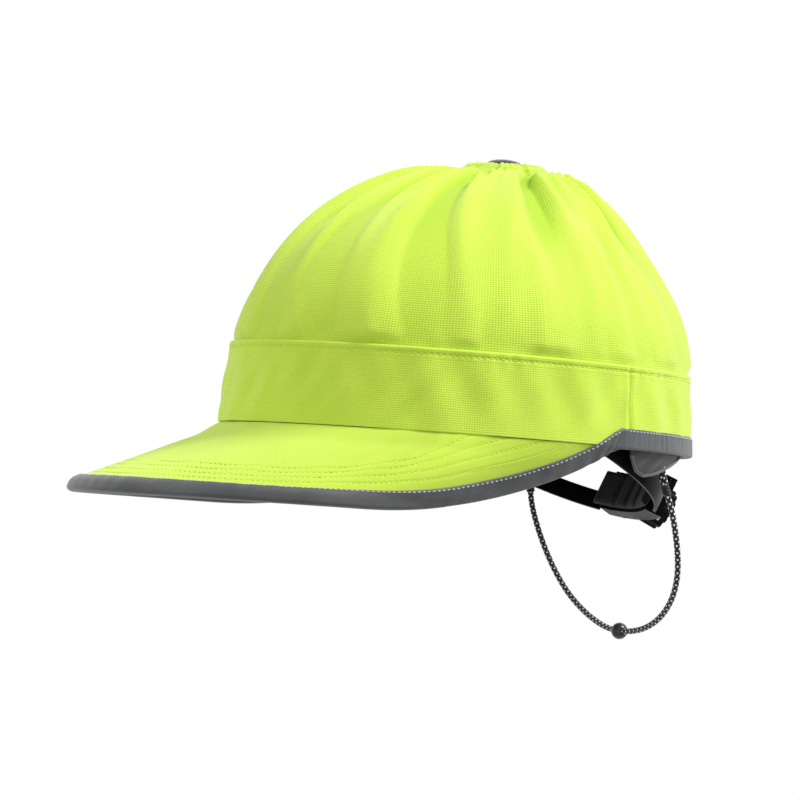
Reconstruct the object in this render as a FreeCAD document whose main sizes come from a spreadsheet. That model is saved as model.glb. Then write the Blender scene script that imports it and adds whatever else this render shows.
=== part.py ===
import FreeCAD, Part
import math
import os
import Sketcher

from FreeCAD import Placement, Rotation, Vector

# Bump cap, millimetres. +Z is up, the brim points to -Y, the nape is at +Y and +X is the wearer's left.
# The origin is the middle of the head opening, in the plane of the hem.

DIMENSIONS = [
    ("rim_half_width", 92.0, "outer half width of the cap at the hem"),
    ("rim_half_length", 115.0, "outer half length of the cap at the hem"),
    ("band_height", 38.0, "height of the fabric band"),
    ("band_lean", 3.0, "how far the band leans in over its height"),
    ("dome_height", 92.0, "height of the dome above the band"),
    ("dome_power", 1.75, "power of the dome's superellipse"),
    ("dome_shift", 15.0, "how far back the top of the dome sits"),
    ("cloth", 1.2, "thickness of the cover fabric"),
    ("shell_offset", 2.4, "outside of the shell, in from the outside of the cap"),
    ("shell_wall", 2.2, "wall of the shell"),
    ("shell_rim", 1.0, "height of the shell's rim above the hem"),
    ("pad_gap", 0.3, "gap for the glue between the shell and a pad"),
    ("pad_wall", 4.5, "thickness of the foam pads"),
    ("headband_offset", 10.6, "outside of the headband, in from the outside of the cap"),
    ("headband_wall", 1.2, "thickness of the headband"),
    ("headband_width", 30.0, "height of the headband strip"),
    ("headband_base", 6.0, "height of the headband's lower edge"),
    ("sweat_wall", 2.4, "thickness of the sweatband"),
    ("brim_slope", 22.5, "slope of the brim, degrees"),
    ("brim_run", 78.0, "length of the brim down its slope"),
    ("brim_cloth", 0.7, "thickness of the brim's fabric"),
    ("brim_core", 2.2, "thickness of the brim's board"),
    ("lip_drop", 7.5, "height of the bound edge of the brim"),
    ("lip_slope", 72.0, "slope of the bound edge, degrees"),
    ("binding_width", 9.0, "width of the reflective binding"),
    ("binding_cloth", 0.8, "thickness of the reflective binding"),
    ("brim_turn", -85.0, "where the brim's side edge runs level, along Y"),
    ("brim_end", 45.0, "where the brim's side edge meets the hem, along Y"),
    ("hem_front", 45.1, "where the hem's binding starts, along Y"),
    ("seam_back", 49.0, "where the band's side seams are, along Y"),
    ("pivot_back", 29.0, "nape pivot line behind the origin"),
    ("pivot_up", 6.0, "nape pivot line above the hem"),
    ("nape_radius", 77.0, "radius of the nape band"),
    ("nape_tilt", 24.0, "how far the nape band slopes down at rest, degrees"),
    ("arm_wall", 1.8, "thickness of a nape arm"),
    ("arm_width", 9.0, "width of a nape arm"),
    ("tongue_width", 3.0, "width of the toothed end of a nape arm"),
    ("tongue_low", 4.4, "lower edge of the toothed end above the knob's axis"),
    ("adjuster_up", 5.5, "how far the adjuster sits above the middle of the arms"),
    ("slot_play", 0.4, "room beside an arm in the housing"),
    ("housing_half", 19.0, "half the angle that the housing covers, degrees"),
    ("housing_width", 20.0, "height of the adjuster housing"),
    ("housing_wall", 2.6, "walls of the adjuster housing"),
    ("knob_radius", 10.5, "radius of the fit knob"),
    ("knob_depth", 7.5, "depth of the fit knob"),
    ("pinion_radius", 3.7, "tip radius of the pinion"),
    ("pivot_radius", 2.0, "radius of the nape pivot pins"),
    ("running_gap", 0.05, "radial clearance of a pin in its hole"),
    ("button_radius", 10.0, "radius of the button on the crown"),
    ("gather_radius", 13.0, "radius of the gathered hole in the crown"),
    ("cord_thick", 2.8, "diameter of the elastic cord"),
    ("bead_radius", 4.0, "radius of the cord bead"),
]

doc = FreeCAD.newDocument("BumpCap")
sheet = doc.addObject("Spreadsheet::Sheet", "dims")
for row, (alias, value, note) in enumerate(DIMENSIONS, start=1):
    sheet.set(f"A{row}", alias)
    sheet.set(f"B{row}", str(value))
    sheet.set(f"C{row}", note)
    sheet.setAlias(f"B{row}", alias)
doc.recompute()

SIZE = {alias: value for alias, value, note in DIMENSIONS}
NODES = []


def bind(item, **sizes):
    """Bind properties of an object to expressions on the sheet; x, y and z mean its position."""
    for prop, formula in sizes.items():
        path = f".Placement.Base.{prop}" if prop in "xyz" else prop
        item.setExpression(path, str(formula))
    return item


def dim(text):
    """Put the sheet's name before every alias in a formula."""
    for alias in sorted(SIZE, key=len, reverse=True):
        text = text.replace(f"#{alias}", f"dims.{alias}")
    return text


def node(item, label):
    item.Label = label
    NODES.append(item)
    return item


def cut(name, base, tool):
    result = doc.addObject("Part::Cut", name)
    result.Base, result.Tool = base, tool
    return result


def common(name, base, tool):
    result = doc.addObject("Part::Common", name)
    result.Base, result.Tool = base, tool
    return result


def fuse(name, shapes):
    result = doc.addObject("Part::MultiFuse", name)
    result.Shapes = shapes
    return result


def group(name, shapes):
    """Separate solids that share one node."""
    result = doc.addObject("Part::Compound", name)
    result.Links = shapes
    return result


def box(name, low, high):
    result = doc.addObject("Part::Box", name)
    result.Placement.Base = Vector(*low)
    result.Length, result.Width, result.Height = [b - a for a, b in zip(low, high)]
    return result


def cylinder(name, radius, height, place):
    result = doc.addObject("Part::Cylinder", name)
    result.Placement = place
    bind(result, Radius=dim(radius), Height=dim(height))
    return result


# ---------------------------------------------------------------- domes and oval walls

QUARTER_TURN = Placement(Vector(0, 0, 0), Rotation(Vector(0, 0, 1), 90))
DOME_ANGLES = (14, 28, 42, 55, 66, 75, 83)


def oval(name, inset_x, inset_y, height, back="0"):
    """An ellipse as large as the hem, less an inset on each half axis."""
    result = doc.addObject("Part::Ellipse", name)
    result.Placement = QUARTER_TURN
    major = dim(f"#rim_half_length - ({inset_y})")
    minor = dim(f"#rim_half_width - ({inset_x})")
    return bind(result, MajorRadius=major, MinorRadius=minor, y=dim(back), z=dim(height))


def dome(name, inset, base, crown_only=False):
    """A solid dome, inset evenly from the outside of the cap, standing on the height `base`."""
    lean = f"#band_lean * ({base}) / #band_height"
    sections = [oval(f"{name}_base", f"{inset} + {lean}", f"{inset} + {lean}", base)]
    if not crown_only:
        for step in (1, 2, 3):
            edge = f"{inset} + #band_lean * {step} / 3"
            sections.append(oval(f"{name}_band{step}", edge, edge, f"#band_height * {step} / 3"))
    for index, angle in enumerate(DOME_ANGLES):
        across = f"cos({angle})^(2 / #dome_power)"
        up = f"sin({angle})^(2 / #dome_power)"
        half = f"#rim_half_width - ({inset}) - #band_lean"
        long = f"#rim_half_length - ({inset}) - #band_lean"
        sections.append(oval(
            f"{name}_ring{index}",
            f"#rim_half_width - ({half}) * {across}",
            f"#rim_half_length - ({long}) * {across}",
            f"#band_height + (#dome_height - ({inset})) * {up}",
            f"#dome_shift * sin({angle})^6",
        ))
    result = doc.addObject("Part::Loft", name)
    result.Sections = sections
    result.Solid = True
    return result


def oval_wall(name, inset, wall, low, high):
    """An upright oval wall between two heights."""
    sides = []
    for part, extra in (("outer", "0"), ("inner", wall)):
        total = f"{inset} + {extra}"
        ring = oval(f"{name}_{part}_oval", total, total, low)
        solid = doc.addObject("Part::Extrusion", f"{name}_{part}")
        solid.Base = ring
        solid.Dir = Vector(0, 0, 1)
        solid.Solid = True
        bind(solid, LengthFwd=dim(f"({high}) - ({low})"))
        sides.append(solid)
    return cut(f"{name}_wall", *sides)


def leaning_wall(name, inset, wall, low, high):
    """A wall that leans in with the band."""
    sides = []
    for part, extra in (("outer", "0"), ("inner", wall)):
        rings = []
        for end, height in (("low", low), ("high", high)):
            total = f"{inset} + {extra} + #band_lean * ({height}) / #band_height"
            rings.append(oval(f"{name}_{part}_{end}", total, total, height))
        solid = doc.addObject("Part::Loft", f"{name}_{part}")
        solid.Sections = rings
        solid.Solid = True
        solid.Ruled = True
        sides.append(solid)
    return cut(f"{name}_wall", *sides)


# ---------------------------------------------------------------- cover: crown and band

crown_solid = cut("crown_skin", dome("crown_out", "0.95", "#band_height - 4", True),
                  dome("crown_in", "0.95 + #cloth", "#band_height - 4", True))
top_back = SIZE["dome_shift"]
crown_axis = Placement(Vector(0, top_back, 100), Rotation())
gather_hole = cylinder("gather_hole", "#gather_radius", "60", crown_axis)
node(cut("crown_open", crown_solid, gather_hole), "crown_fabric")

gather = doc.addObject("Part::Torus", "gather_elastic")
gather.Placement.Base = Vector(0, top_back, 0)
bind(gather, Radius1=dim("#gather_radius + 1.4"), Radius2="1.2", z=dim("#band_height + #dome_height - 1.4"))
node(gather, "crown_gather_elastic")

BAND_PARTS = (("band_front", -200, SIZE["seam_back"] - 0.1), ("band_rear", SIZE["seam_back"] + 0.1, 200))
for label, front, back in BAND_PARTS:
    wall = leaning_wall(label, "-0.6", "#cloth", "0", "#band_height")
    zone = box(f"{label}_zone", (-150, front, -10), (150, back, 60))
    node(common(f"{label}_part", wall, zone), label)

# ---------------------------------------------------------------- brim

slope = math.radians(SIZE["brim_slope"])
lip = math.radians(SIZE["lip_slope"])
DOWN_BRIM = Vector(0, -math.cos(slope), -math.sin(slope))
DOWN_LIP = Vector(0, -math.cos(lip), -math.sin(lip))


def slanted_tube(name, skin_out, skin_in, low_end=False):
    """A sheet that runs down the brim's slope, between two depths below its upper face."""
    sides = []
    for part, depth in (("upper", skin_out), ("lower", skin_in)):
        ring = oval(f"{name}_{part}_oval", depth, f"({depth}) / sin(#brim_slope)", "0")
        solid = doc.addObject("Part::Extrusion", f"{name}_{part}")
        solid.Base = ring
        solid.Solid = True
        solid.Dir = DOWN_BRIM
        bind(solid, LengthFwd=dim("#brim_run"))
        if low_end:
            bind(ring, y=dim("-#brim_run * cos(#brim_slope)"), z=dim("-#brim_run * sin(#brim_slope)"))
            solid.Dir = DOWN_LIP
            bind(solid, LengthFwd=dim("#lip_drop / sin(#lip_slope)"))
        sides.append(solid)
    return cut(f"{name}_sheet", *sides)


def side_zone(name, raise_by):
    """The room above the brim's side edge, as a plate that runs through the cap along X."""
    turn, end = SIZE["brim_turn"], SIZE["brim_end"]
    deep = SIZE["brim_run"] * math.sin(slope) + SIZE["lip_drop"]
    level, meet = raise_by - deep, raise_by
    radius = ((end - turn) ** 2 + (meet - level) ** 2) / (2 * (meet - level))
    half = math.asin((end - turn) / radius) / 2
    middle = Vector(0, turn + radius * math.sin(half), level + radius * (1 - math.cos(half)))
    start = Vector(0, turn, level)
    finish = Vector(0, end, meet)
    far = [Vector(0, end, 60), Vector(0, -260, 60), Vector(0, -260, level)]
    edges = [Part.Arc(start, middle, finish).toShape()]
    corners = [finish] + far + [start]
    edges += [Part.makeLine(a, b) for a, b in zip(corners, corners[1:])]
    plate = Part.Face(Part.Wire(edges))
    plate.translate(Vector(-150, 0, 0))
    result = doc.addObject("Part::Feature", name)
    result.Shape = plate.extrude(Vector(300, 0, 0))
    return result


front_only = box("brim_front_zone", (-150, -260, -120), (150, SIZE["brim_end"], 0))
LAYERS = (
    ("brim_top_fabric", "0", "#brim_cloth"),
    ("brim_board", "#brim_cloth", "#brim_cloth + #brim_core"),
    ("brim_under_fabric", "#brim_cloth + #brim_core", "2 * #brim_cloth + #brim_core"),
)
for label, upper, lower in LAYERS:
    sheet_part = slanted_tube(label, upper, lower)
    trimmed = common(f"{label}_trim", sheet_part, side_zone(f"{label}_edge", 1.2))
    node(common(f"{label}_part", trimmed, front_only), label)

full_sheet = "2 * #brim_cloth + #brim_core"
thick = slanted_tube("binding", "-#binding_cloth", f"{full_sheet} + #binding_cloth")
filling = slanted_tube("binding_filling", "-0.05", f"{full_sheet} + 0.05")
filling_trim = common("binding_filling_trim", filling, side_zone("binding_filling_edge", 1.15))
hollow_binding = cut("binding_hollow", thick, filling_trim)
above = common("binding_above", hollow_binding, side_zone("binding_low_edge", 0))
strip = cut("binding_strip", above, side_zone("binding_high_edge", SIZE["binding_width"]))
strip_front = common("binding_strip_front", strip, front_only)
lip_sheet = slanted_tube("lip", "-#binding_cloth", f"{full_sheet} + #binding_cloth", True)
lip_trim = common("lip_trim", lip_sheet, side_zone("lip_edge", 0))
node(fuse("binding_all", [strip_front, lip_trim]), "brim_binding")

hem_thick = leaning_wall("hem", "-0.6 - #binding_cloth", "#cloth + 2 * #binding_cloth + 0.1",
                         "-#binding_cloth", "#binding_width")
hem_room = leaning_wall("hem_room", "-0.65", "#cloth + 0.1", "-0.05", "#binding_width + 2")
hem_fold = cut("hem_fold", hem_thick, hem_room)
hem_zone = box("hem_zone", (-150, SIZE["hem_front"], -1), (150, 200, 30))
node(common("hem_rear", hem_fold, hem_zone), "hem_binding")

# Two lobes of the hem's facing hang below the hem, outside the cord anchors.
facing = leaning_wall("facing", "1.6", "0.5", "-12.5", "5")
FACING_FRONT, FACING_BACK, FACING_TOP = 52.0, 92.0, 5.0
FACING_LOW = ((55.0, -9.0), (61.0, -12.0), (70.0, -10.5), (82.0, -6.0))
lobes = []
for side, (low_x, high_x) in (("left", (10, 120)), ("right", (-120, -10))):
    rim = [(FACING_FRONT, FACING_TOP), (FACING_FRONT, -4.0), *FACING_LOW,
           (FACING_BACK, -1.5), (FACING_BACK, FACING_TOP), (FACING_FRONT, FACING_TOP)]
    plate = Part.Face(Part.makePolygon([Vector(low_x, y, z) for y, z in rim]))
    zone = doc.addObject("Part::Feature", f"facing_zone_{side}")
    zone.Shape = plate.extrude(Vector(high_x - low_x, 0, 0))
    lobes.append(common(f"facing_{side}", facing, zone))
node(group("facing_both", lobes), "hem_facing")

# ---------------------------------------------------------------- shell, button and pads

shell_solid = cut("shell_skin", dome("shell_out", "#shell_offset", "#shell_rim"),
                  dome("shell_in", "#shell_offset + #shell_wall", "#shell_rim"))
VENT_ROWS = ((62, 9.0, 16.0), (88, 8.0, 13.0))
VENTS_IN_ROW, VENT_PITCH = 5, 22
vents = []
for height, width, length in VENT_ROWS:
    for inner_x, outer_x in ((30, 110), (-110, -30)):
        for index in range(VENTS_IN_ROW):
            back = (index - (VENTS_IN_ROW - 1) / 2) * VENT_PITCH
            low = (inner_x, back - width / 2, height)
            high = (outer_x, back + width / 2, height + length)
            vents.append(box(f"vent{len(vents)}", low, high))
button_stem = cylinder("button_stem_hole", "3.05", "60", crown_axis)
pin_holes = []
pivot_x = SIZE["nape_radius"] + 3.0
for side in (-1, 1):
    centre = Vector(side * pivot_x, SIZE["pivot_back"], SIZE["pivot_up"])
    place = Placement(centre, Rotation(Vector(0, 1, 0), side * 90))
    pin_holes.append(cylinder(f"shell_pin_hole{side + 1}", "#pivot_radius", "12", place))


def on_headband(angle, height):
    """A place on the outside of the headband, with X pointing outwards."""
    turn = math.radians(angle)
    wide, long = SIZE["rim_half_width"], SIZE["rim_half_length"]
    out = Vector(math.cos(turn) / wide, math.sin(turn) / long, 0).normalize()
    rim = Vector(wide * math.cos(turn), long * math.sin(turn), height)
    return Placement(rim - out * SIZE["headband_offset"], Rotation(Vector(1, 0, 0), out))


CLIP_ANGLES = (-150, -115, -65, -30)
CLIP_DEPTH, CLIP_WIDTH, CLIP_HEIGHT, CLIP_BASE = 3.4, 12.0, 16.0, 8.0
RIVET_RADIUS, RIVET_LENGTH = 2.2, 6.6
OUTWARDS = Rotation(Vector(0, 1, 0), 90)


def rivet_set(name, radius, length):
    """A cylinder on the axis of each rivet, from the headband outwards."""
    found = []
    for index, angle in enumerate(CLIP_ANGLES):
        place = on_headband(angle, CLIP_BASE + CLIP_HEIGHT / 2)
        place = place * Placement(Vector(0.1, 0, 0), OUTWARDS)
        found.append(cylinder(f"{name}{index}", str(radius), str(length), place))
    return found


rivet_holes = rivet_set("shell_rivet_hole", RIVET_RADIUS + 0.05, 20)
shell_tools = fuse("shell_tools", vents + [button_stem] + pin_holes + rivet_holes)
node(cut("shell_vented", shell_solid, shell_tools), "bump_shell")


def layer(name, inset, wall, base):
    return cut(name, dome(f"{name}_out", inset, base), dome(f"{name}_in", f"{inset} + {wall}", base))


pad_skin = layer("pad_skin", "#shell_offset + #shell_wall + #pad_gap", "#pad_wall", "#shell_rim + 1")
PADS = {
    "crown_pad": [((-34, -30, 100), (34, 66, 150))],
    "brow_pad": [((-48, -140, 44), (48, -40, 84))],
    "side_pads": [((40, -34, 46), (120, 50, 86)), ((-120, -34, 46), (-40, 50, 86))],
    "rear_pad": [((-40, 60, 26), (40, 140, 84))],
}
for label, zones in PADS.items():
    pieces = []
    for index, (low, high) in enumerate(zones):
        zone = box(f"{label}_zone{index}", low, high)
        pieces.append(common(f"{label}_piece{index}", pad_skin, zone))
    node(pieces[0] if len(pieces) == 1 else group(f"{label}_both", pieces), label)


def on_plane(body, name, role):
    """A sketch on one of the body's own origin planes."""
    sketch = body.newObject("Sketcher::SketchObject", name)
    plane = next(item for item in body.Origin.OriginFeatures if item.Role == role)
    sketch.AttachmentSupport = [(plane, "")]
    sketch.MapMode = "FlatFace"
    return sketch


def outline(sketch, points):
    for start, end in zip(points, points[1:] + points[:1]):
        sketch.addGeometry(Part.LineSegment(Vector(*start, 0), Vector(*end, 0)), False)
    return sketch


def turned(name, place, points):
    """A turned piece: a half section in X and Z, turned about Z."""
    body = doc.addObject("PartDesign::Body", name)
    body.Placement = place
    sketch = outline(on_plane(body, f"{name}_section", "XZ_Plane"), points)
    turn = body.newObject("PartDesign::Revolution", f"{name}_turn")
    turn.Profile = sketch
    turn.ReferenceAxis = (sketch, ["V_Axis"])
    turn.Angle = 360
    body.Tip = turn
    return body


button_top = SIZE["band_height"] + SIZE["dome_height"] + 5.0
round_off = [(SIZE["button_radius"] * math.cos(a), 5.2 * math.sin(a)) for a in
             [math.radians(step) for step in range(0, 90, 15)]]
STEM_END, FLAT_UNDERSIDE = -4.45, -2.0
button_points = [(0, 5.2), (0, STEM_END), (3, STEM_END), (3, FLAT_UNDERSIDE)]
button_points += [(SIZE["button_radius"], FLAT_UNDERSIDE)] + round_off
button = turned("button_body", Placement(Vector(0, top_back, button_top - 5.2), Rotation()), button_points)
node(button, "top_button")

# ---------------------------------------------------------------- headband

strip_wall = oval_wall("headband", "#headband_offset", "#headband_wall", "#headband_base",
                       "#headband_base + #headband_width")
node(common("headband_part", strip_wall, box("headband_zone", (-150, -200, 0), (150, 14, 60))), "headband")
sweat_wall = oval_wall("sweatband", "#headband_offset + #headband_wall + 0.05", "#sweat_wall",
                       "#headband_base - 2", "#headband_base + #headband_width + 1")
node(common("sweatband_part", sweat_wall, box("sweatband_zone", (-58, -200, 0), (58, 0, 60))), "sweatband")

clips = []
for index, (angle, hole) in enumerate(zip(CLIP_ANGLES, rivet_set("clip_hole", RIVET_RADIUS + 0.05, 20))):
    block = box(f"clip{index}_block", (0, 0, 0), (CLIP_DEPTH, CLIP_WIDTH, CLIP_HEIGHT))
    shift = Placement(Vector(0.05, -CLIP_WIDTH / 2, 0), Rotation())
    block.Placement = on_headband(angle, CLIP_BASE) * shift
    clips.append(cut(f"clip{index}", block, hole))
rivets = rivet_set("rivet", RIVET_RADIUS, RIVET_LENGTH)
node(group("clips_all", clips), "headband_clips")
node(group("rivets_all", rivets), "clip_rivets")

# ---------------------------------------------------------------- nape band and fit adjuster

PIVOT = Vector(0, SIZE["pivot_back"], SIZE["pivot_up"])
NAPE = Placement(PIVOT, Rotation(Vector(1, 0, 0), -SIZE["nape_tilt"]))
RADIUS = SIZE["nape_radius"]


def arc_block(name, inner, outer, low, high, first, last):
    """A block bent round the nape band's centre; angles in degrees from the left pivot."""
    place = NAPE * Placement(Vector(0, 0, low), Rotation(Vector(0, 0, 1), first))
    sector = cylinder(f"{name}_sector", f"#nape_radius + ({outer})", str(high - low), place)
    sector.Angle = last - first
    core_place = NAPE * Placement(Vector(0, 0, low - 1), Rotation())
    core = cylinder(f"{name}_core", f"#nape_radius + ({inner})", str(high - low + 2), core_place)
    return cut(name, sector, core)


def in_nape(x, y, z, axis=Vector(0, 0, 1), angle=0.0):
    return NAPE * Placement(Vector(x, y, z), Rotation(axis, angle))


def on_knob_axis(start):
    """A place on the knob's axis, `start` outside the nape radius, with Z pointing to the rear."""
    return in_nape(0, RADIUS + start, SIZE["adjuster_up"], Vector(1, 0, 0), -90)


half_arm = SIZE["arm_width"] / 2
tongue_low = SIZE["tongue_low"]
tongue_high = tongue_low + SIZE["tongue_width"]
UP = SIZE["adjuster_up"]
wall_in, wall_out = "-#arm_wall / 2", "#arm_wall / 2"
TEETH, TOOTH_PITCH = 11, 2.4


def swing(side, start, end):
    """Two angles round the nape band, from the pivot on the given side."""
    return (start, end) if side > 0 else (180 - end, 180 - start)


for label, side in (("nape_arm_left", 1), ("nape_arm_right", -1)):
    strap = arc_block(f"{label}_strap", wall_in, wall_out, -half_arm, half_arm, *swing(side, 4, 68))
    low, high = sorted((UP + side * tongue_low, UP + side * tongue_high))
    top = max(high, half_arm)
    step = arc_block(f"{label}_step", wall_in, wall_out, -half_arm, top, *swing(side, 62, 68))
    tongue = arc_block(f"{label}_tongue", wall_in, wall_out, low, high, *swing(side, 67, 100))
    eye = cylinder(f"{label}_eye", "3", "5", in_nape(side * RADIUS, 0, -2.5))
    neck = box(f"{label}_neck", (0, 0, 0), (SIZE["arm_wall"], 6.5, 5))
    neck.Placement = in_nape(side * RADIUS - SIZE["arm_wall"] / 2, 0, -2.5)
    whole = fuse(f"{label}_whole", [strap, step, tongue, eye, neck])
    bore = cylinder(f"{label}_bore", "1.5 + #running_gap", "20", in_nape(side * RADIUS, 0, -10))
    notches = [bore]
    for index in range(TEETH):
        offset = (index - (TEETH - 1) / 2) * TOOTH_PITCH
        angle = 90 + math.degrees(offset / RADIUS)
        corner = Vector(RADIUS - 3, -0.6, UP + side * tongue_low - 0.8)
        notch = box(f"{label}_notch{index}", (0, 0, 0), (6, 1.2, 1.6))
        notch.Placement = in_nape(0, 0, 0, Vector(0, 0, 1), angle) * Placement(corner, Rotation())
        notches.append(notch)
    node(cut(f"{label}_part", whole, fuse(f"{label}_tools", notches)), label)

lugs = {1: [], -1: []}
pins = []
yaw_pins = []
for label, side in (("nape_lug_left", 1), ("nape_lug_right", -1)):
    plate_x = RADIUS + 3.3
    place = in_nape(side * plate_x, 0, 0, Vector(0, 1, 0), side * 90)
    plate = cylinder(f"{label}_plate", "4.8", "1.6", place)
    cheeks = []
    for low in (-4.9, 2.8):
        cheek = cylinder(f"{label}_cheek{low > 0}", "3", "2.1", in_nape(side * RADIUS, 0, low))
        web = box(f"{label}_web{low > 0}", (0, 0, 0), (3.6, 5.2, 2.1))
        web.Placement = in_nape(side * RADIUS if side > 0 else -RADIUS - 3.6, -2.6, low)
        cheeks += [cheek, web]
    body = fuse(f"{label}_body", [plate] + cheeks)
    yaw_hole = cylinder(f"{label}_yaw_hole", "1.5", "20", in_nape(side * RADIUS, 0, -10))
    tilt_hole = cylinder(f"{label}_tilt_hole", "#pivot_radius + #running_gap", "20",
                         in_nape(side * (plate_x - 0.3), 0, 0, Vector(0, 1, 0), side * 90))
    tools = fuse(f"{label}_tools", [yaw_hole, tilt_hole])
    node(cut(f"{label}_part", body, tools), label)
    yaw_pins.append(cylinder(f"{label}_yaw_pin", "1.5", "10.2", in_nape(side * RADIUS, 0, -5.1)))
    pin_place = Placement(Vector(side * (RADIUS + 3.2), SIZE["pivot_back"], SIZE["pivot_up"]),
                          Rotation(Vector(0, 1, 0), side * 90))
    pins.append(cylinder(f"{label}_pivot_pin", "#pivot_radius", "6.6", pin_place))
node(group("yaw_pins_both", yaw_pins), "arm_hinge_pins")
node(group("pivot_pins_both", pins), "nape_pivot_pins")

first, last = 90 - SIZE["housing_half"], 90 + SIZE["housing_half"]
half_house = SIZE["housing_width"] / 2
house_low, house_high = UP - half_house, UP + half_house
room = tongue_high + 0.5
play = SIZE["slot_play"]
slot_in = "-#arm_wall / 2 - #slot_play"
slot_out = "#arm_wall / 2 + #slot_play"
back_block = arc_block("housing_back_block", f"{slot_in} - #housing_wall", slot_out,
                       house_low, house_high, first, last)
back_slot = arc_block("housing_back_slot", slot_in, f"{slot_out} + 2",
                      UP - room, UP + room, first - 5, last + 5)
back_bore = cylinder("housing_back_bore", "1.5 + #running_gap", "12", on_knob_axis(-10))
SCREWS = [(x, UP + z) for x in (-17.5, 17.5) for z in (-8.75, 8.75)]


def screw_set(name, radius, start, length):
    found = []
    for index, (x, z) in enumerate(SCREWS):
        y = math.sqrt(RADIUS ** 2 - x ** 2)
        place = in_nape(x, y + start, z, Vector(1, 0, 0), -90)
        found.append(cylinder(f"{name}{index}", radius, length, place))
    return found


back_holes = screw_set("back_screw_hole", "0.8", -1.9, "9")
back_tools = fuse("housing_back_tools", [back_slot, back_bore] + back_holes)
node(cut("housing_back_part", back_block, back_tools), "adjuster_back")

cover_block = arc_block("housing_cover_block", f"{slot_out} + 0.02", f"{slot_out} + #housing_wall + 0.4",
                        house_low, house_high, first, last)
cover_bore = cylinder("housing_cover_bore", "2.2 + #running_gap", "12", on_knob_axis(-2))
cover_tools = fuse("housing_cover_tools", [cover_bore] + screw_set("cover_screw_hole", "0.8", -1.9, "12"))
node(cut("housing_cover_part", cover_block, cover_tools), "adjuster_cover")
screws = []
shanks = screw_set("screw_shank", "0.78", -1.9, "6.65")
heads = screw_set("screw_head", "1.3", 4.75, "0.9")
for shank, head in zip(shanks, heads):
    screws.append(fuse(f"{shank.Name}_whole", [shank, head]))
node(group("screws_all", screws), "housing_screws")

half_wall = SIZE["arm_wall"] / 2
back_face = half_wall + play + SIZE["housing_wall"]
face = back_face + 0.4


def disc_pad(body, name, radius, length, teeth=0, notch=0.0):
    sketch = on_plane(body, f"{name}_circle", "XY_Plane")
    sketch.addGeometry(Part.Circle(Vector(0, 0, 0), Vector(0, 0, 1), 1), False)
    sketch.addConstraint(Sketcher.Constraint("Coincident", 0, 3, -1, 1))
    sketch.addConstraint(Sketcher.Constraint("Radius", 0, SIZE[radius]))
    sketch.setExpression("Constraints[1]", dim(f"#{radius}"))
    pad = body.newObject("PartDesign::Pad", f"{name}_pad")
    pad.Profile = sketch
    pad.Length = length
    body.Tip = pad
    if teeth:
        spot = on_plane(body, f"{name}_notch", "XY_Plane")
        middle = Vector(SIZE[radius] + notch * 0.4, 0, 0)
        spot.addGeometry(Part.Circle(middle, Vector(0, 0, 1), notch), False)
        pocket = body.newObject("PartDesign::Pocket", f"{name}_pocket")
        pocket.Profile = spot
        pocket.Type = "ThroughAll"
        pocket.Midplane = True
        pattern = body.newObject("PartDesign::PolarPattern", f"{name}_pattern")
        pattern.Originals = [pocket]
        pattern.Axis = (sketch, ["N_Axis"])
        pattern.Angle = 360
        pattern.Occurrences = teeth
        body.Tip = pattern
    return body


KNOB_GRIPS = 14
knob = doc.addObject("PartDesign::Body", "knob_body")
knob.Placement = on_knob_axis(face + 0.5)
disc_pad(knob, "knob", "knob_radius", SIZE["knob_depth"], KNOB_GRIPS, 1.5)
node(knob, "fit_knob")

PINION_TEETH = 9
pinion = doc.addObject("PartDesign::Body", "pinion_body")
pinion.Placement = on_knob_axis(-half_wall)
disc_pad(pinion, "pinion", "pinion_radius", SIZE["arm_wall"], PINION_TEETH, 0.75)
node(pinion, "fit_pinion")
shaft_in = cylinder("shaft_in", "1.5", "#housing_wall + #slot_play - 0.1",
                    on_knob_axis(0.1 - back_face))
shaft_out = cylinder("shaft_out", "2.2", str(face + 0.5 - half_wall), on_knob_axis(half_wall))
node(group("shaft_both", [shaft_in, shaft_out]), "pinion_shaft")

pad_face = f"{slot_in} - #housing_wall"
nape_pad = arc_block("nape_pad_block", f"{pad_face} - 4.1", f"{pad_face} - 0.1",
                     house_low + 1, house_high - 1, first - 4, last + 4)
node(nape_pad, "nape_pad")

# ---------------------------------------------------------------- elastic cord

CORD_POINTS = [
    (64.0, 72.0, 1.0),
    (64.6, 75.3, -9.0),
    (68.0, 81.5, -26.0),
    (67.5, 87.0, -49.0),
    (59.0, 91.0, -64.0),
    (46.0, 92.8, -75.0),
    (32.0, 92.4, -82.0),
    (17.0, 90.6, -85.2),
    (-2.0, 88.3, -85.0),
    (-24.0, 86.2, -78.0),
    (-44.0, 83.6, -66.5),
    (-60.0, 79.0, -47.0),
    (-69.0, 74.0, -24.0),
    (-67.5, 73.5, -9.0),
    (-64.5, 72.0, 1.0),
]
BEAD_RUN = 7
ROUNDING = 0.45


def smooth_route(points):
    """Straight runs joined by arcs that touch them."""
    points = [Vector(*p) for p in points]
    edges = []
    start = points[0]
    tightest = math.inf
    for before, corner, after in zip(points, points[1:], points[2:]):
        back = (before - corner).normalize()
        ahead = (after - corner).normalize()
        reach = ROUNDING * min((before - corner).Length, (after - corner).Length)
        half = (math.pi - back.getAngle(ahead)) / 2
        radius = reach / math.tan(half)
        bisector = (back + ahead).normalize()
        centre = corner + bisector * (radius / math.cos(half))
        first, last = corner + back * reach, corner + ahead * reach
        edges.append(Part.LineSegment(start, first).toShape())
        edges.append(Part.Arc(first, centre - bisector * radius, last).toShape())
        start = last
        tightest = min(tightest, radius)
    edges.append(Part.LineSegment(start, points[-1]).toShape())
    return Part.Wire(edges), sum(edge.Length for edge in edges), tightest


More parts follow.
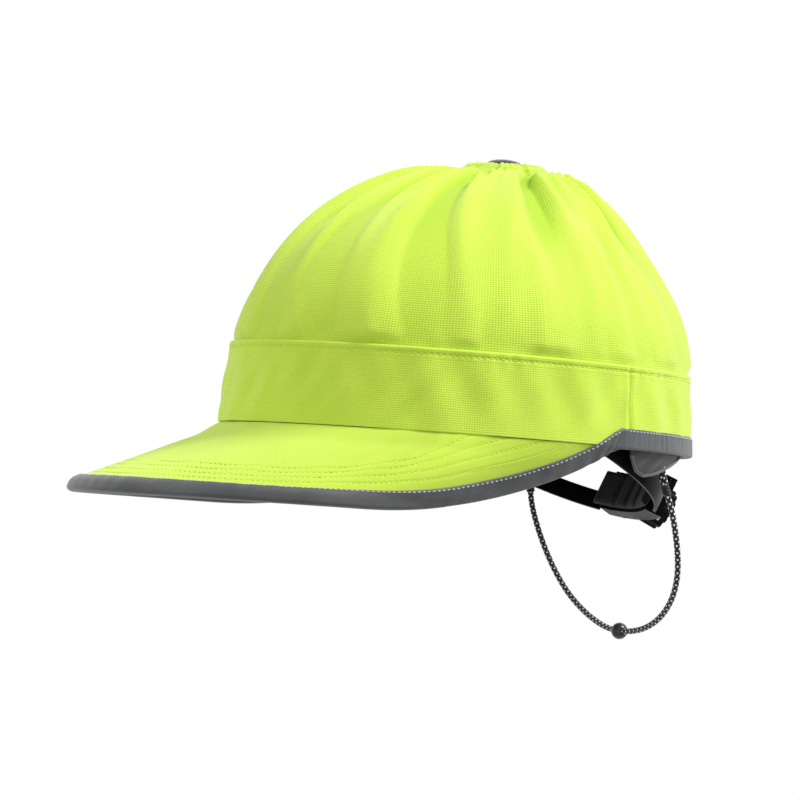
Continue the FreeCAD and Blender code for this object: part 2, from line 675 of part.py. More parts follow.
wire, cord_length, tightest = smooth_route(CORD_POINTS)
route = doc.addObject("Part::Feature", "cord_route")
route.Shape = wire
cord_start = Vector(*CORD_POINTS[0])
run = (Vector(*CORD_POINTS[1]) - cord_start).normalize()
section = doc.addObject("Part::Circle", "cord_section")
section.Placement = Placement(cord_start, Rotation(Vector(0, 0, 1), run))
bind(section, Radius=dim("#cord_thick / 2"))
cord = doc.addObject("Part::Sweep", "cord_sweep")
cord.Sections = [section]
cord.Spine = (route, [f"Edge{index + 1}" for index in range(len(wire.Edges))])
cord.Solid = True
cord.Frenet = False
node(cord, "elastic_cord")

bead_at = (Vector(*CORD_POINTS[BEAD_RUN]) + Vector(*CORD_POINTS[BEAD_RUN + 1])) * 0.5
bead_dir = (Vector(*CORD_POINTS[BEAD_RUN + 1]) - Vector(*CORD_POINTS[BEAD_RUN])).normalize()
bead_r = SIZE["bead_radius"]
hole_r = SIZE["cord_thick"] / 2 + 0.05
low_turn = math.acos(hole_r / bead_r)
bead_points = [(bead_r * math.cos(a), bead_r * math.sin(a)) for a in
               [low_turn * (step / 8 - 1) for step in range(17)]]
bead = turned("bead_body", Placement(bead_at, Rotation(Vector(0, 0, 1), bead_dir)), bead_points)
node(bead, "cord_bead")

ferrules = []
for index, (upper, lower) in enumerate(((1, 2), (-2, -3))):
    top, bottom = Vector(*CORD_POINTS[upper]), Vector(*CORD_POINTS[lower])
    down = (bottom - top).normalize()
    middle = (top + bottom) * 0.5 + down * 1.5
    place = Placement(middle - down * 3, Rotation(Vector(0, 0, 1), down))
    sleeve = cylinder(f"ferrule{index}_outer", "2.3", "6", place)
    hole = cylinder(f"ferrule{index}_hole", "#cord_thick / 2 + 0.05", "30",
                    Placement(middle - down * 15, Rotation(Vector(0, 0, 1), down)))
    ferrules.append(cut(f"ferrule{index}", sleeve, hole))
node(group("ferrules_both", ferrules), "cord_ferrules")

anchors = []
for index, (end, inner) in enumerate(((0, 1), (-1, -2))):
    top, lower = Vector(*CORD_POINTS[end]), Vector(*CORD_POINTS[inner])
    up = (top - lower).normalize()
    place = Placement(top - up * 5, Rotation(Vector(0, 0, 1), up))
    block = box(f"anchor{index}_block", (-2.1, -2.1, 0), (2.1, 2.1, 3.8))
    block.Placement = place * block.Placement
    hole_place = place * Placement(Vector(0, 0, -1), Rotation())
    hole = cylinder(f"anchor{index}_hole", "#cord_thick / 2 + 0.05", "12", hole_place)
    anchors.append(cut(f"anchor{index}", block, hole))
node(group("anchors_both", anchors), "cord_anchors")

# ---------------------------------------------------------------- check and write

doc.recompute()
for item in doc.Objects:
    if "Invalid" in item.State or "Error" in item.State:
        raise RuntimeError(f"{item.Name} is {item.State}")
os.makedirs("parts", exist_ok=True)
for item in NODES:
    shape = item.Shape
    if shape.isNull() or not shape.isValid() or not shape.Solids:
        raise RuntimeError(f"{item.Label} has no valid solid")
    shape.exportStep(f"parts/{item.Label}.step")
    box_now = shape.BoundBox
    print(f"{item.Label:22s} solids {len(shape.Solids):2d} volume {shape.Volume:10.1f} "
          f"x {box_now.XMin:7.1f} {box_now.XMax:7.1f} y {box_now.YMin:7.1f} {box_now.YMax:7.1f} "
          f"z {box_now.ZMin:7.1f} {box_now.ZMax:7.1f}")
expected = math.pi * (SIZE["cord_thick"] / 2) ** 2 * cord_length
print(f"cord length {cord_length:.1f} tightest {tightest:.1f}")
print(f"cord volume {cord.Shape.Volume:.1f} of {expected:.1f}")
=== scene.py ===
"""The looks of a high-visibility bump cap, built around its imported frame. Everything is in metres."""

import math
import random

import bpy
import numpy as np
from mathutils import Matrix, Vector


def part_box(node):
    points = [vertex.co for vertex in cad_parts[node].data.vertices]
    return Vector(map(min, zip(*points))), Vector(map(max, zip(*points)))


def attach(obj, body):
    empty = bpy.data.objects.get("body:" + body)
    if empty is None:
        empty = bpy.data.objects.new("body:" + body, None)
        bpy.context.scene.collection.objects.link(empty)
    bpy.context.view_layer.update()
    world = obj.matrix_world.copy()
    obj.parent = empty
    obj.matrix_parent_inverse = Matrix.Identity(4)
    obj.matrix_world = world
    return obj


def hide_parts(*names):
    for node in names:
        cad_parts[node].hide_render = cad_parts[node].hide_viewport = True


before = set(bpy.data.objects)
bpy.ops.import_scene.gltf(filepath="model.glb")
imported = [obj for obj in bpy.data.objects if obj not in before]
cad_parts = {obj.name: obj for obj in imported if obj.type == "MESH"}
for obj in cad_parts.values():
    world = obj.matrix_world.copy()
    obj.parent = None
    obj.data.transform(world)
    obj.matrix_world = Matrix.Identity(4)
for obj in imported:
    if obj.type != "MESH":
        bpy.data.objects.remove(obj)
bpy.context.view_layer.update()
MM = 0.001

# ---- sizes, from the frame where it has them

band_low, band_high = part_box("band_front")
rear_low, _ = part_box("band_rear")
button_low, button_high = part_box("top_button")
binding_low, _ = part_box("brim_binding")
hem_low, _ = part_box("hem_binding")
facing_low, facing_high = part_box("hem_facing")

BAND_PROUD = 0.6 * MM
HALF_WIDE = band_high.x - BAND_PROUD
HALF_LONG = -band_low.y - BAND_PROUD
BAND_TOP = band_high.z
BAND_LEAN = 3 * MM
CROWN_INSET = 0.95 * MM
DOME_POWER = 2 / 1.75
TOP_BACK = (button_low.y + button_high.y) / 2
SEAM_Y = rear_low.y
HEM_FRONT = hem_low.y
BRIM_SLOPE = math.radians(22.5)
LIP_SLOPE = math.radians(72)
BRIM_LOW = binding_low.z
BRIM_TURN_Y = -85 * MM
BINDING = 9 * MM
TAPE_CLOTH = 0.8 * MM
HEM_THICK = 1.8 * MM
BRIM_THICK = 3.6 * MM
BRIM_SAG = 2.2 * MM
EDGE_FOLD = 1.6 * MM
BAND_CLOTH = 1.2 * MM
TURN = 2 * math.pi

# ---- camera

VIEW_AZIMUTH = math.radians(66)
VIEW_ELEVATION = math.radians(-2.2)
CAP_LEAN = math.radians(4)
VIEW_DISTANCE = 1.9
AIM_RIGHT = -26.75 * MM
AIM_UP = 18.94 * MM
LENS = 180.6
SENSOR_WIDTH = 36
FAR_CLIP = 20


def add_object(name, data):
    made = bpy.data.objects.new(name, data)
    bpy.context.scene.collection.objects.link(made)
    return made


def make_camera():
    """The cap is seen from its left front, from just under the hem, and leans a little to the right."""
    sin_a, cos_a = math.sin(VIEW_AZIMUTH), math.cos(VIEW_AZIMUTH)
    sin_e, cos_e = math.sin(VIEW_ELEVATION), math.cos(VIEW_ELEVATION)
    back = Vector((sin_a * cos_e, -cos_a * cos_e, sin_e))
    level = Vector((cos_a, sin_a, 0))
    upright = back.cross(level)
    right = level * math.cos(CAP_LEAN) + upright * math.sin(CAP_LEAN)
    up = upright * math.cos(CAP_LEAN) - level * math.sin(CAP_LEAN)
    data = bpy.data.cameras.new("camera")
    data.lens = LENS
    data.sensor_width = SENSOR_WIDTH
    data.clip_end = FAR_CLIP
    camera = add_object("camera", data)
    turn = Matrix((right, up, back)).transposed().to_4x4()
    place = right * AIM_RIGHT + up * AIM_UP + back * VIEW_DISTANCE
    camera.matrix_world = Matrix.Translation(place) @ turn
    bpy.context.scene.camera = camera


make_camera()

# ---- mesh helpers


def smoothstep(low, high, value):
    share = np.clip((value - low) / (high - low), 0, 1)
    return share * share * (3 - 2 * share)


def hump(distance, width):
    """A smooth bump, 1 in its middle."""
    return np.exp(-(distance / width) ** 2)


def oval(share):
    """Height of a half circle of radius 1."""
    return np.sqrt(np.clip(1 - share ** 2, 0, 1))


def away_from(angle, bearing):
    """Angle from a bearing in degrees, within half a turn each way."""
    return (angle - math.radians(bearing) + math.pi) % TURN - math.pi


def round_angles(count):
    return np.linspace(0, TURN, count, endpoint=False)


def read_line(wanted, at, values):
    """Three-part values along a line, read at the wanted lengths."""
    return np.stack([np.interp(wanted, at, values[:, k]) for k in range(3)], axis=1)


def unit(vectors):
    return vectors / np.maximum(np.linalg.norm(vectors, axis=-1, keepdims=True), 1e-12)


def lengths_along(points, axis=0):
    """Distance along a row of points, starting at nought."""
    steps = np.linalg.norm(np.diff(points, axis=axis), axis=-1)
    start = np.zeros_like(np.take(steps, [0], axis=axis))
    return np.concatenate([start, np.cumsum(steps, axis=axis)], axis=axis)


def piece(name, points, faces, material, weave=None, sharp=50, shades=None, body="cap"):
    """A mesh that rides on a body. weave holds a pair of cloth coordinates for each corner."""
    mesh = bpy.data.meshes.new(name)
    mesh.from_pydata(np.asarray(points, float).reshape(-1, 3).tolist(), [], faces)
    mesh.shade_smooth()
    mesh.set_sharp_from_angle(angle=math.radians(sharp))
    if weave is not None:
        layer = mesh.uv_layers.new(name="weave")
        layer.data.foreach_set("uv", np.asarray(weave, np.float32).ravel())
    # shades: painted shade for each point, kept as an attribute that the knit reads.
    if shades is not None:
        attribute = mesh.attributes.new("crease_shade", "FLOAT", "POINT")
        attribute.data.foreach_set("value", np.asarray(shades, np.float32).ravel())
    mesh.materials.append(material)
    result = add_object(name, mesh)
    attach(result, body)
    return result


def loft(name, rings, material, closed=False, sharp=50, shades=None, body="cap"):
    """A closed skin through rings of points. Its ends are capped, or joined where closed."""
    rings = np.asarray(rings, float)
    count, around = rings.shape[:2]
    spans = count if closed else count - 1
    ahead = np.roll(rings, -1, axis=0)
    middle = np.linalg.norm(ahead - rings, axis=2).mean(axis=1)
    along = np.concatenate([[0], np.cumsum(middle)])
    round_ring = np.concatenate([rings, rings[:, :1]], axis=1)
    around_at = lengths_along(round_ring, axis=1)
    faces = []
    weave = []
    for i in range(spans):
        j = (i + 1) % count
        for k in range(around):
            m = (k + 1) % around
            faces.append((i * around + k, i * around + m, j * around + m, j * around + k))
            weave += [(along[i], around_at[i][k]), (along[i], around_at[i][k + 1]),
                      (along[i + 1], around_at[j][k + 1]), (along[i + 1], around_at[j][k])]
    if not closed:
        for end in (list(range(around))[::-1], [(count - 1) * around + k for k in range(around)]):
            faces.append(tuple(end))
            weave += [(0.0, 0.0)] * around
    return piece(name, rings, faces, material, weave, sharp, shades, body)


def grid_normals(grid, closed=False):
    """Outward normals of a grid of columns that run round and rows that run up or down."""
    if closed:
        round_step = np.roll(grid, -1, axis=0) - np.roll(grid, 1, axis=0)
    else:
        round_step = np.gradient(grid, axis=0)
    return unit(np.cross(round_step, np.gradient(grid, axis=1)))


def sheet(name, grid, thickness, material, closed=False, flip=False, shades=None):
    """Cloth or board of even thickness behind the points of a grid."""
    normals = grid_normals(grid, closed)
    if flip:
        normals = -normals
    inner = grid - normals * thickness
    rings = np.concatenate([grid, inner[:, ::-1]], axis=1)
    if shades is not None:
        shades = np.concatenate([shades, shades[:, ::-1]], axis=1)
    return loft(name, rings, material, closed=closed, shades=shades)


def resample(points, pitch):
    """Points at an even pitch along a line, with the direction at each."""
    points = np.asarray(points, float)
    at = lengths_along(points)
    count = max(2, int(at[-1] / pitch))
    wanted = (np.arange(count) + 0.5) * at[-1] / count
    found = read_line(wanted, at, points)
    return found, unit(np.gradient(found, axis=0)), wanted


STITCH_SIDES = 6
STITCH_SINK = 0.3


def stitches(name, line, normals, pitch, length, radius, material):
    """A row of thread stitches that lie on a line, each a rounded capsule that dips in at its ends."""
    centres, ahead, wanted = resample(line, pitch)
    at = lengths_along(np.asarray(line, float))
    up = unit(read_line(wanted, at, np.asarray(normals)))
    side = unit(np.cross(up, ahead))
    sides = STITCH_SIDES
    shares = np.linspace(-1, 1, 7)
    points = []
    faces = []
    for centre, along, high, wide in zip(centres, ahead, up, side):
        base = len(points)
        for share in shares:
            fat = radius * math.sqrt(max(0.04, 1 - abs(share) ** 2.5))
            rise = radius * (1 - STITCH_SINK - 1.3 * share * share)
            middle = centre + along * share * length / 2 + high * rise
            for k in range(sides):
                a = TURN * k / sides
                points.append(middle + (wide * math.cos(a) + high * math.sin(a)) * fat)
        for ring in range(len(shares) - 1):
            for k in range(sides):
                m = (k + 1) % sides
                first = base + ring * sides
                faces.append((first + k, first + m, first + sides + m, first + sides + k))
        faces.append(tuple(base + k for k in range(sides))[::-1])
        faces.append(tuple(base + (len(shares) - 1) * sides + k for k in range(sides)))
    return piece(name, points, faces, material)


# ---- finishes


class Finish:
    """A procedural material with a Principled shader."""

    def __init__(self, name, rough, specular=0.5, sheen=0.0, metallic=0.0):
        self.material = bpy.data.materials.new(name)
        self.material.use_nodes = True
        self.nodes = self.material.node_tree.nodes
        self.links = self.material.node_tree.links
        self.shader = self.nodes["Principled BSDF"]
        plain = (("Roughness", rough), ("Specular IOR Level", specular), ("Sheen Weight", sheen),
                 ("Metallic", metallic))
        for socket, value in plain:
            self.shader.inputs[socket].default_value = value

    def feed(self, socket, value):
        """Link another node's output to a socket, or set its value. A colour gets its fourth part here."""
        if isinstance(value, bpy.types.NodeSocket):
            self.links.new(value, socket)
        else:
            socket.default_value = (*value, 1.0) if socket.type == "RGBA" else value

    def node(self, kind, settings=(), **inputs):
        made = self.nodes.new(kind)
        for key, value in settings:
            setattr(made, key, value)
        for key, value in inputs.items():
            numbered = key[0] == "i" and key[1:].isdigit()
            socket = made.inputs[int(key[1:]) if numbered else key.replace("_", " ")]
            self.feed(socket, value)
        return made

    def math(self, operation, *values):
        inputs = {f"i{k}": value for k, value in enumerate(values)}
        return self.node("ShaderNodeMath", [("operation", operation)], **inputs).outputs[0]

    def noise(self, scale, detail=3.0, stretch=(1, 1, 1)):
        place = self.node("ShaderNodeTexCoord").outputs["Object"]
        mapped = self.node("ShaderNodeMapping", Vector=place, Scale=stretch).outputs[0]
        return self.node("ShaderNodeTexNoise", Vector=mapped, Scale=scale, Detail=detail).outputs[0]

    def weave(self, pitch_u, pitch_v):
        """Waves along the two cloth directions, each from 0 to 1."""
        place = self.node("ShaderNodeUVMap", [("uv_map", "weave")]).outputs[0]
        parts = self.node("ShaderNodeSeparateXYZ", Vector=place).outputs
        waves = []
        for part, pitch in ((parts[0], pitch_u), (parts[1], pitch_v)):
            turned = self.math("MULTIPLY", part, TURN / pitch)
            waves.append(self.math("MULTIPLY_ADD", self.math("COSINE", turned), 0.5, 0.5))
        return waves

    def mix(self, share, first, second):
        made = self.node("ShaderNodeMix", [("data_type", "RGBA")])
        for socket, value in zip((made.inputs[0], made.inputs[6], made.inputs[7]), (share, first, second)):
            self.feed(socket, value)
        return made.outputs[2]

    def ramp(self, value, low, high):
        return self.node("ShaderNodeMapRange", Value=value, From_Min=low, From_Max=high).outputs[0]

    def colour(self, value):
        self.feed(self.shader.inputs["Base Color"], value)

    def rough(self, value):
        self.links.new(value, self.shader.inputs["Roughness"])

    def bump(self, height, depth, strength=1.0):
        made = self.node("ShaderNodeBump", Strength=strength, Distance=depth, Height=height)
        self.links.new(made.outputs[0], self.shader.inputs["Normal"])


LIME = (0.66, 0.88, 0.085)
# Darker lime: painted shade in the knit's pits, and the darker threads of the brim's weave pattern.
LIME_PIT_SHADE_AND_WEAVE = (0.38, 0.58, 0.015)
# A deeper lime, used both for the dye's uneven patches and as painted shade in the crown's creases.
LIME_DEEP_AND_SHADE = (0.40, 0.62, 0.014)
LIME_SHEEN = (0.9, 1.0, 0.5, 1.0)


def tinted(colour, factor, add=0.0):
    return tuple(c * factor + add for c in colour)


def uneven_lime(cloth, scale, share):
    """The dyed lime, a little deeper in patches."""
    patchy = cloth.ramp(cloth.noise(scale, 2.0), 0.3, 0.75)
    return cloth.mix(cloth.math("MULTIPLY", patchy, share), LIME, LIME_DEEP_AND_SHADE)


def knit(name, pitch_u=1.35 * MM, pitch_v=1.1 * MM, pit=1.0):
    """Fine pique knit: a grid of small pits with painted shade in them, and painted shade in the creases of
    the folds.
    """
    cloth = Finish(name, rough=0.85, specular=0.3, sheen=0.6)
    cloth.shader.inputs["Sheen Roughness"].default_value = 0.5
    cloth.shader.inputs["Sheen Tint"].default_value = LIME_SHEEN
    wale, course = cloth.weave(pitch_u, pitch_v)
    pits = cloth.math("MULTIPLY", wale, course)
    uneven = cloth.noise(420, 2.0)
    # Painted shade: the knit's pits are painted darker, unevenly.
    hole = cloth.math("MULTIPLY", cloth.ramp(pits, 0.25, 0.85), cloth.ramp(uneven, 0.15, 0.6))
    crease_shade = cloth.node("ShaderNodeAttribute", [("attribute_name", "crease_shade")]).outputs["Fac"]
    body = uneven_lime(cloth, 22, 0.25)
    # Painted shade: the creases of the crown's folds are mixed towards the deeper lime.
    shaded = cloth.mix(cloth.math("MULTIPLY", crease_shade, 0.85), body, LIME_DEEP_AND_SHADE)
    cloth.colour(cloth.mix(cloth.math("MULTIPLY", hole, 0.5 * pit), shaded, LIME_PIT_SHADE_AND_WEAVE))
    height = cloth.math("SUBTRACT", cloth.math("MULTIPLY", uneven, 0.3), pits)
    cloth.bump(height, 0.22 * MM * pit, 0.8)
    return cloth.material


def brim_cloth():
    """Close plain weave of the brim, smoother than the knit."""
    cloth = Finish("brim_weave", rough=0.8, specular=0.3, sheen=0.6)
    cloth.shader.inputs["Sheen Tint"].default_value = LIME_SHEEN
    warp, weft = cloth.weave(0.95 * MM, 0.95 * MM)
    threads = cloth.math("ABSOLUTE", cloth.math("SUBTRACT", warp, weft))
    body = uneven_lime(cloth, 18, 0.2)
    # The darker lime here follows the weave's own thread pattern.
    cloth.colour(cloth.mix(cloth.math("MULTIPLY", threads, 0.30), body, LIME_PIT_SHADE_AND_WEAVE))
    cloth.bump(threads, 0.12 * MM, 0.7)
    return cloth.material


def reflective_tape(name="reflective_tape", tone=1.0):
    """Grey glass-bead tape: a satin film over a close weave, with fine painted glints of its beads."""
    tape = Finish(name, rough=0.42, specular=0.45, sheen=0.15)
    warp, weft = tape.weave(0.55 * MM, 0.55 * MM)
    threads = tape.math("ABSOLUTE", tape.math("SUBTRACT", warp, weft))
    painted_glint = tape.ramp(tape.noise(5200, 1.0), 0.50, 0.74)
    smear = tape.ramp(tape.noise(30, 3.0, (1, 1, 3)), 0.3, 0.7)
    bright = tinted((0.34, 0.35, 0.37), tone)
    body = tape.mix(smear, tinted((0.075, 0.078, 0.082), tone), tinted((0.155, 0.16, 0.168), tone))
    # Painted glints: fine bright specks mixed into the colour.
    tape.colour(tape.mix(tape.math("MULTIPLY", painted_glint, 0.5), body, bright))
    tape.rough(tape.math("MULTIPLY_ADD", smear, 0.16, 0.36))
    tape.bump(tape.math("MULTIPLY_ADD", threads, 0.6, tape.noise(1500, 2.0)), 0.10 * MM, 0.6)
    return tape.material


def plastic(name, colour, rough, grain=0.04 * MM, grain_scale=1400, specular=0.4):
    """Moulded plastic with a fine spark-eroded grain and slight handling marks."""
    moulded = Finish(name, rough, specular=specular)
    fine = moulded.noise(grain_scale, 2.0)
    marks = moulded.ramp(moulded.noise(60, 4.0), 0.35, 0.7)
    moulded.colour(moulded.mix(marks, colour, tinted(colour, 1.35, 0.002)))
    moulded.rough(moulded.math("MULTIPLY_ADD", marks, 0.10, rough))
    moulded.bump(fine, grain, 0.5)
    return moulded.material


def foam(name, colour):
    """Closed-cell foam with a skin of small cells."""
    cells = Finish(name, 0.9, specular=0.2, sheen=0.1)
    place = cells.node("ShaderNodeTexCoord").outputs["Object"]
    bubble = cells.node("ShaderNodeTexVoronoi", Vector=place, Scale=900.0).outputs["Distance"]
    mottle = cells.ramp(cells.noise(120, 3.0), 0.3, 0.7)
    cells.colour(cells.mix(mottle, colour, tinted(colour, 1.5)))
    cells.bump(bubble, 0.12 * MM, 0.6)
    return cells.material


def towel(name, colour):
    """Looped towelling, with painted light on the loop tops and painted shade between them."""
    loops = Finish(name, 0.95, specular=0.1, sheen=0.6)
    wave_u, wave_v = loops.weave(1.1 * MM, 1.1 * MM)
    fuzz = loops.noise(1700, 3.0)
    height = loops.math("MULTIPLY_ADD", loops.math("MULTIPLY", wave_u, wave_v), 0.6, fuzz)
    # Painted light and shade: lighter where the loops and fibres stand high, darker in the hollows between
    # them.
    loops.colour(loops.mix(loops.ramp(height, 0.3, 1.1), colour, tinted(colour, 2.2)))
    loops.bump(height, 0.5 * MM, 0.9)
    return loops.material


def steel(name):
    """Turned zinc-plated steel."""
    metal = Finish(name, 0.35, metallic=1.0)
    rings = metal.noise(900, 2.0, (1, 1, 8))
    metal.colour(metal.mix(metal.ramp(rings, 0.3, 0.7), (0.50, 0.50, 0.52), (0.66, 0.66, 0.68)))
    metal.rough(metal.math("MULTIPLY_ADD", rings, 0.2, 0.25))
    metal.bump(rings, 0.01 * MM, 0.4)
    return metal.material


def thread(name, colour):
    """Twisted sewing thread."""
    yarn = Finish(name, 0.6, specular=0.35, sheen=0.2)
    twist = yarn.noise(3800, 1.0)
    yarn.colour(yarn.mix(twist, colour, tuple(min(1.0, c * 1.3) for c in colour)))
    yarn.bump(twist, 0.05 * MM, 0.6)
    return yarn.material


def braid(name, colour):
    """Polyester yarn of the elastic cord."""
    yarn = Finish(name, 0.55, specular=0.3, sheen=0.25)
    fibres = yarn.noise(2600, 2.0)
    yarn.colour(yarn.mix(fibres, colour, tinted(colour, 1.6, 0.003)))
    yarn.bump(fibres, 0.06 * MM, 0.6)
    return yarn.material


def webbing(name, colour):
    """Ribbed narrow webbing, with painted light on its ribs and painted shade between them."""
    tape = Finish(name, 0.8, specular=0.25, sheen=0.3)
    rib, weft = tape.weave(0.9 * MM, 0.5 * MM)
    # Painted light and shade: lighter on the ribs, darker between them.
    tape.colour(tape.mix(rib, colour, tinted(colour, 1.8)))
    tape.bump(tape.math("MULTIPLY_ADD", weft, 0.4, rib), 0.2 * MM, 0.7)
    return tape.material


KNIT = knit("pique_knit")
BAND_KNIT = knit("band_knit", 1.15 * MM, 1.05 * MM, 0.8)
BRIM_WEAVE = brim_cloth()
TAPE = reflective_tape(tone=0.72)
# The hem facing is the same tape at a far darker tone: painted shade, as the facing hangs down under the hem.
FACING_PAINTED_SHADE = reflective_tape("facing_painted_shade", 0.18)
LIME_THREAD = thread("lime_thread", (0.58, 0.80, 0.07))
PALE_THREAD = thread("pale_thread", (0.60, 0.60, 0.55))
SHELL = plastic("shell_plastic", (0.018, 0.019, 0.020), 0.45, 0.12 * MM, 700)
GLOSS = plastic("button_gloss", (0.030, 0.031, 0.035), 0.16, 0.01 * MM, 500, specular=0.5)
HARNESS = plastic("harness_plastic", (0.004, 0.004, 0.005), 0.28, 0.02 * MM, 900, specular=0.03)
KNOB = plastic("knob_plastic", (0.007, 0.007, 0.008), 0.40, 0.08 * MM, 1100, specular=0.06)
BOARD = plastic("brim_board_plastic", (0.62, 0.62, 0.58), 0.5, 0.05 * MM)
FOAM = foam("pad_foam", (0.020, 0.020, 0.023))
TOWEL = towel("towelling", (0.030, 0.030, 0.034))
STEEL = steel("zinc_steel")
CORD_BLACK = braid("cord_black", (0.008, 0.008, 0.010))
CORD_FLECK = braid("cord_fleck", (0.75, 0.75, 0.75))
WEBBING = webbing("black_webbing", (0.012, 0.012, 0.013))

# ---- elastic cord

CORD_POINTS = [
    (0.064, 0.072, 0.001), (0.0646, 0.0753, -0.009), (0.068, 0.0815, -0.026),
    (0.0675, 0.087, -0.049), (0.059, 0.091, -0.064), (0.046, 0.0928, -0.075),
    (0.032, 0.0924, -0.082), (0.017, 0.0906, -0.0852), (-0.002, 0.0883, -0.085),
    (-0.024, 0.0862, -0.078), (-0.044, 0.0836, -0.0665), (-0.06, 0.079, -0.047),
    (-0.069, 0.074, -0.024), (-0.0675, 0.0735, -0.009), (-0.0645, 0.072, 0.001),
]
CORD_THICK = 2.8 * MM
BRAID_CELL = 0.82 * MM
BRAID_AROUND = 6
BEAD_RADIUS = 4 * MM


def route_line(name, points):
    """The smooth line of a cord's route, read from its NURBS spline."""
    data = bpy.data.curves.new(name, "CURVE")
    data.dimensions = "3D"
    spline = data.splines.new("NURBS")
    spline.points.add(len(points) - 1)
    for point, place in zip(spline.points, points):
        point.co = (*place, 1.0)
    spline.order_u = 3
    spline.use_endpoint_u = True
    spline.resolution_u = 24
    holder = add_object(name, data)
    mesh = bpy.data.meshes.new_from_object(holder)
    line = np.array([v.co for v in mesh.vertices], float)
    bpy.data.objects.remove(holder)
    bpy.data.curves.remove(data)
    bpy.data.meshes.remove(mesh)
    return line


def frames_along(line, pitch):
    """Evenly spaced points on a line, with two cross directions that don't twist."""
    at = lengths_along(line)
    count = int(round(at[-1] / pitch)) + 1
    wanted = np.linspace(0, at[-1], count)
    points = read_line(wanted, at, line)
    ahead = unit(np.gradient(points, axis=0))
    side = np.zeros_like(points)
    side[0] = unit(np.cross(ahead[0], (0, 1, 0)))
    for k in range(1, count):
        side[k] = unit(side[k - 1] - ahead[k] * np.dot(side[k - 1], ahead[k]))
    return points, side, np.cross(ahead, side)


def braided_tube(name, line, diameter, taper=0.0):
    """A round braid: crossing strands stand up in diamonds, and some of them are light tracers."""
    sides, pitch = 30, BRAID_CELL / 4
    points, side, other = frames_along(line, pitch)
    at = np.arange(len(points))[:, None] * pitch / BRAID_CELL
    turn = (np.arange(sides) / sides)[None, :] * BRAID_AROUND
    first, second = turn + at / 2, turn - at / 2
    relief = np.abs(np.sin(math.pi * first) * np.sin(math.pi * second))
    radius = diameter / 2 * (0.93 + 0.13 * relief)
    ends = np.minimum(at, at[::-1]) * BRAID_CELL
    radius = radius * np.where(ends < taper, 0.80 + 0.20 * ends / max(taper, 1e-9), 1.0)
    angle = turn / BRAID_AROUND * TURN
    rings = (points[:, None] + side[:, None] * (np.cos(angle) * radius)[..., None]
             + other[:, None] * (np.sin(angle) * radius)[..., None])
    made = loft(name, rings, CORD_BLACK)
    made.data.materials.append(CORD_FLECK)
    half_step = 0.5 / sides * BRAID_AROUND
    cells_a = np.floor(first + half_step).astype(int)
    cells_b = np.floor(second + half_step).astype(int)
    light = ((cells_a % 2 == 0) & (cells_b % 2 == 0)) & (relief > 0.18)
    indices = np.zeros(len(made.data.polygons), np.int32)
    indices[: light[:-1].size] = light[:-1].ravel()
    made.data.polygons.foreach_set("material_index", indices)
    return made, points


CORD_LINE = route_line("cord_route", CORD_POINTS)
cord, cord_path = braided_tube("elastic_cord_braid", CORD_LINE, CORD_THICK)
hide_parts("elastic_cord")


def ball_bead(name, centre, axis, radius, hole):
    """A moulded ball with a hole, rounded at its mouths, and a fine parting line."""
    axis = Vector(axis).normalized()
    side = axis.orthogonal().normalized()
    other = axis.cross(side)
    profile = []
    steps = 22
    low = math.acos(min(1.0, (hole + 0.35 * MM) / radius))
    for k in range(steps + 1):
        a = -low + 2 * low * k / steps
        seam = 0.06 * MM * math.exp(-(a / 0.05) ** 2)
        profile.append(((radius + seam) * math.cos(a), radius * math.sin(a)))
    profile.append((hole, profile[-1][1] - 0.35 * MM))
    profile.append((hole, -profile[-1][1]))
    rings = []
    for k in range(40):
        a = TURN * k / 40
        out = side * math.cos(a) + other * math.sin(a)
        rings.append([Vector(centre) + out * r + axis * z for r, z in profile])
    return loft(name, rings, GLOSS, closed=True)


bead_low, bead_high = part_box("cord_bead")
bead_centre = (bead_low + bead_high) / 2
bead_axis = Vector(CORD_POINTS[8]) - Vector(CORD_POINTS[7])
bead = ball_bead("cord_bead_moulded", bead_centre, bead_axis, BEAD_RADIUS, CORD_THICK / 2 + 0.03 * MM)
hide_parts("cord_bead")


def crimp_sleeve(name, line_points, start, length, radius):
    """A shrink sleeve over the cord's doubled end, waisted in the middle."""
    pitch = 0.4 * MM
    points, side, other = frames_along(line_points, pitch)
    first = int(start / pitch)
    last = int((start + length) / pitch)
    rings = []
    for k in range(first, last + 1):
        share = (k - first) / (last - first)
        swell = radius * (1 - 0.10 * math.sin(math.pi * share) + 0.05 * math.cos(6 * math.pi * share))
        swell *= min(1.0, 0.72 + 3.5 * min(share, 1 - share))
        rings.append([points[k] + (side[k] * math.cos(a) + other[k] * math.sin(a)) * swell
                      for a in round_angles(28)])
    return loft(name, rings, CORD_BLACK)


TAIL_LENGTH = 19 * MM
SLEEVE_START = 17.5 * MM
SLEEVE_LENGTH = 4.5 * MM
TAIL_SHIFT = (1.7 * MM, 1.5 * MM)
TAIL_THICK = 2.4 * MM
TAIL_TAPER = 1.5 * MM
SLEEVE_RADIUS = 2.2 * MM
cord_pieces = [bead]
for side_name, mirror, route in (("left", 1, CORD_LINE), ("right", -1, CORD_LINE[::-1])):
    at = lengths_along(route)
    cut = route[at <= TAIL_LENGTH]
    depth = smoothstep(0, 1, at[at <= TAIL_LENGTH] / TAIL_LENGTH)[:, None]
    shift = np.array([mirror * TAIL_SHIFT[0], TAIL_SHIFT[1], 0]) * (1 - 0.55 * depth)
    tail, _ = braided_tube(f"cord_tail_{side_name}", cut + shift, TAIL_THICK, TAIL_TAPER)
    sleeve = crimp_sleeve(f"cord_sleeve_{side_name}", route, SLEEVE_START, SLEEVE_LENGTH, SLEEVE_RADIUS)
    cord_pieces += [tail, sleeve]
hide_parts("cord_ferrules")

# ---- crown


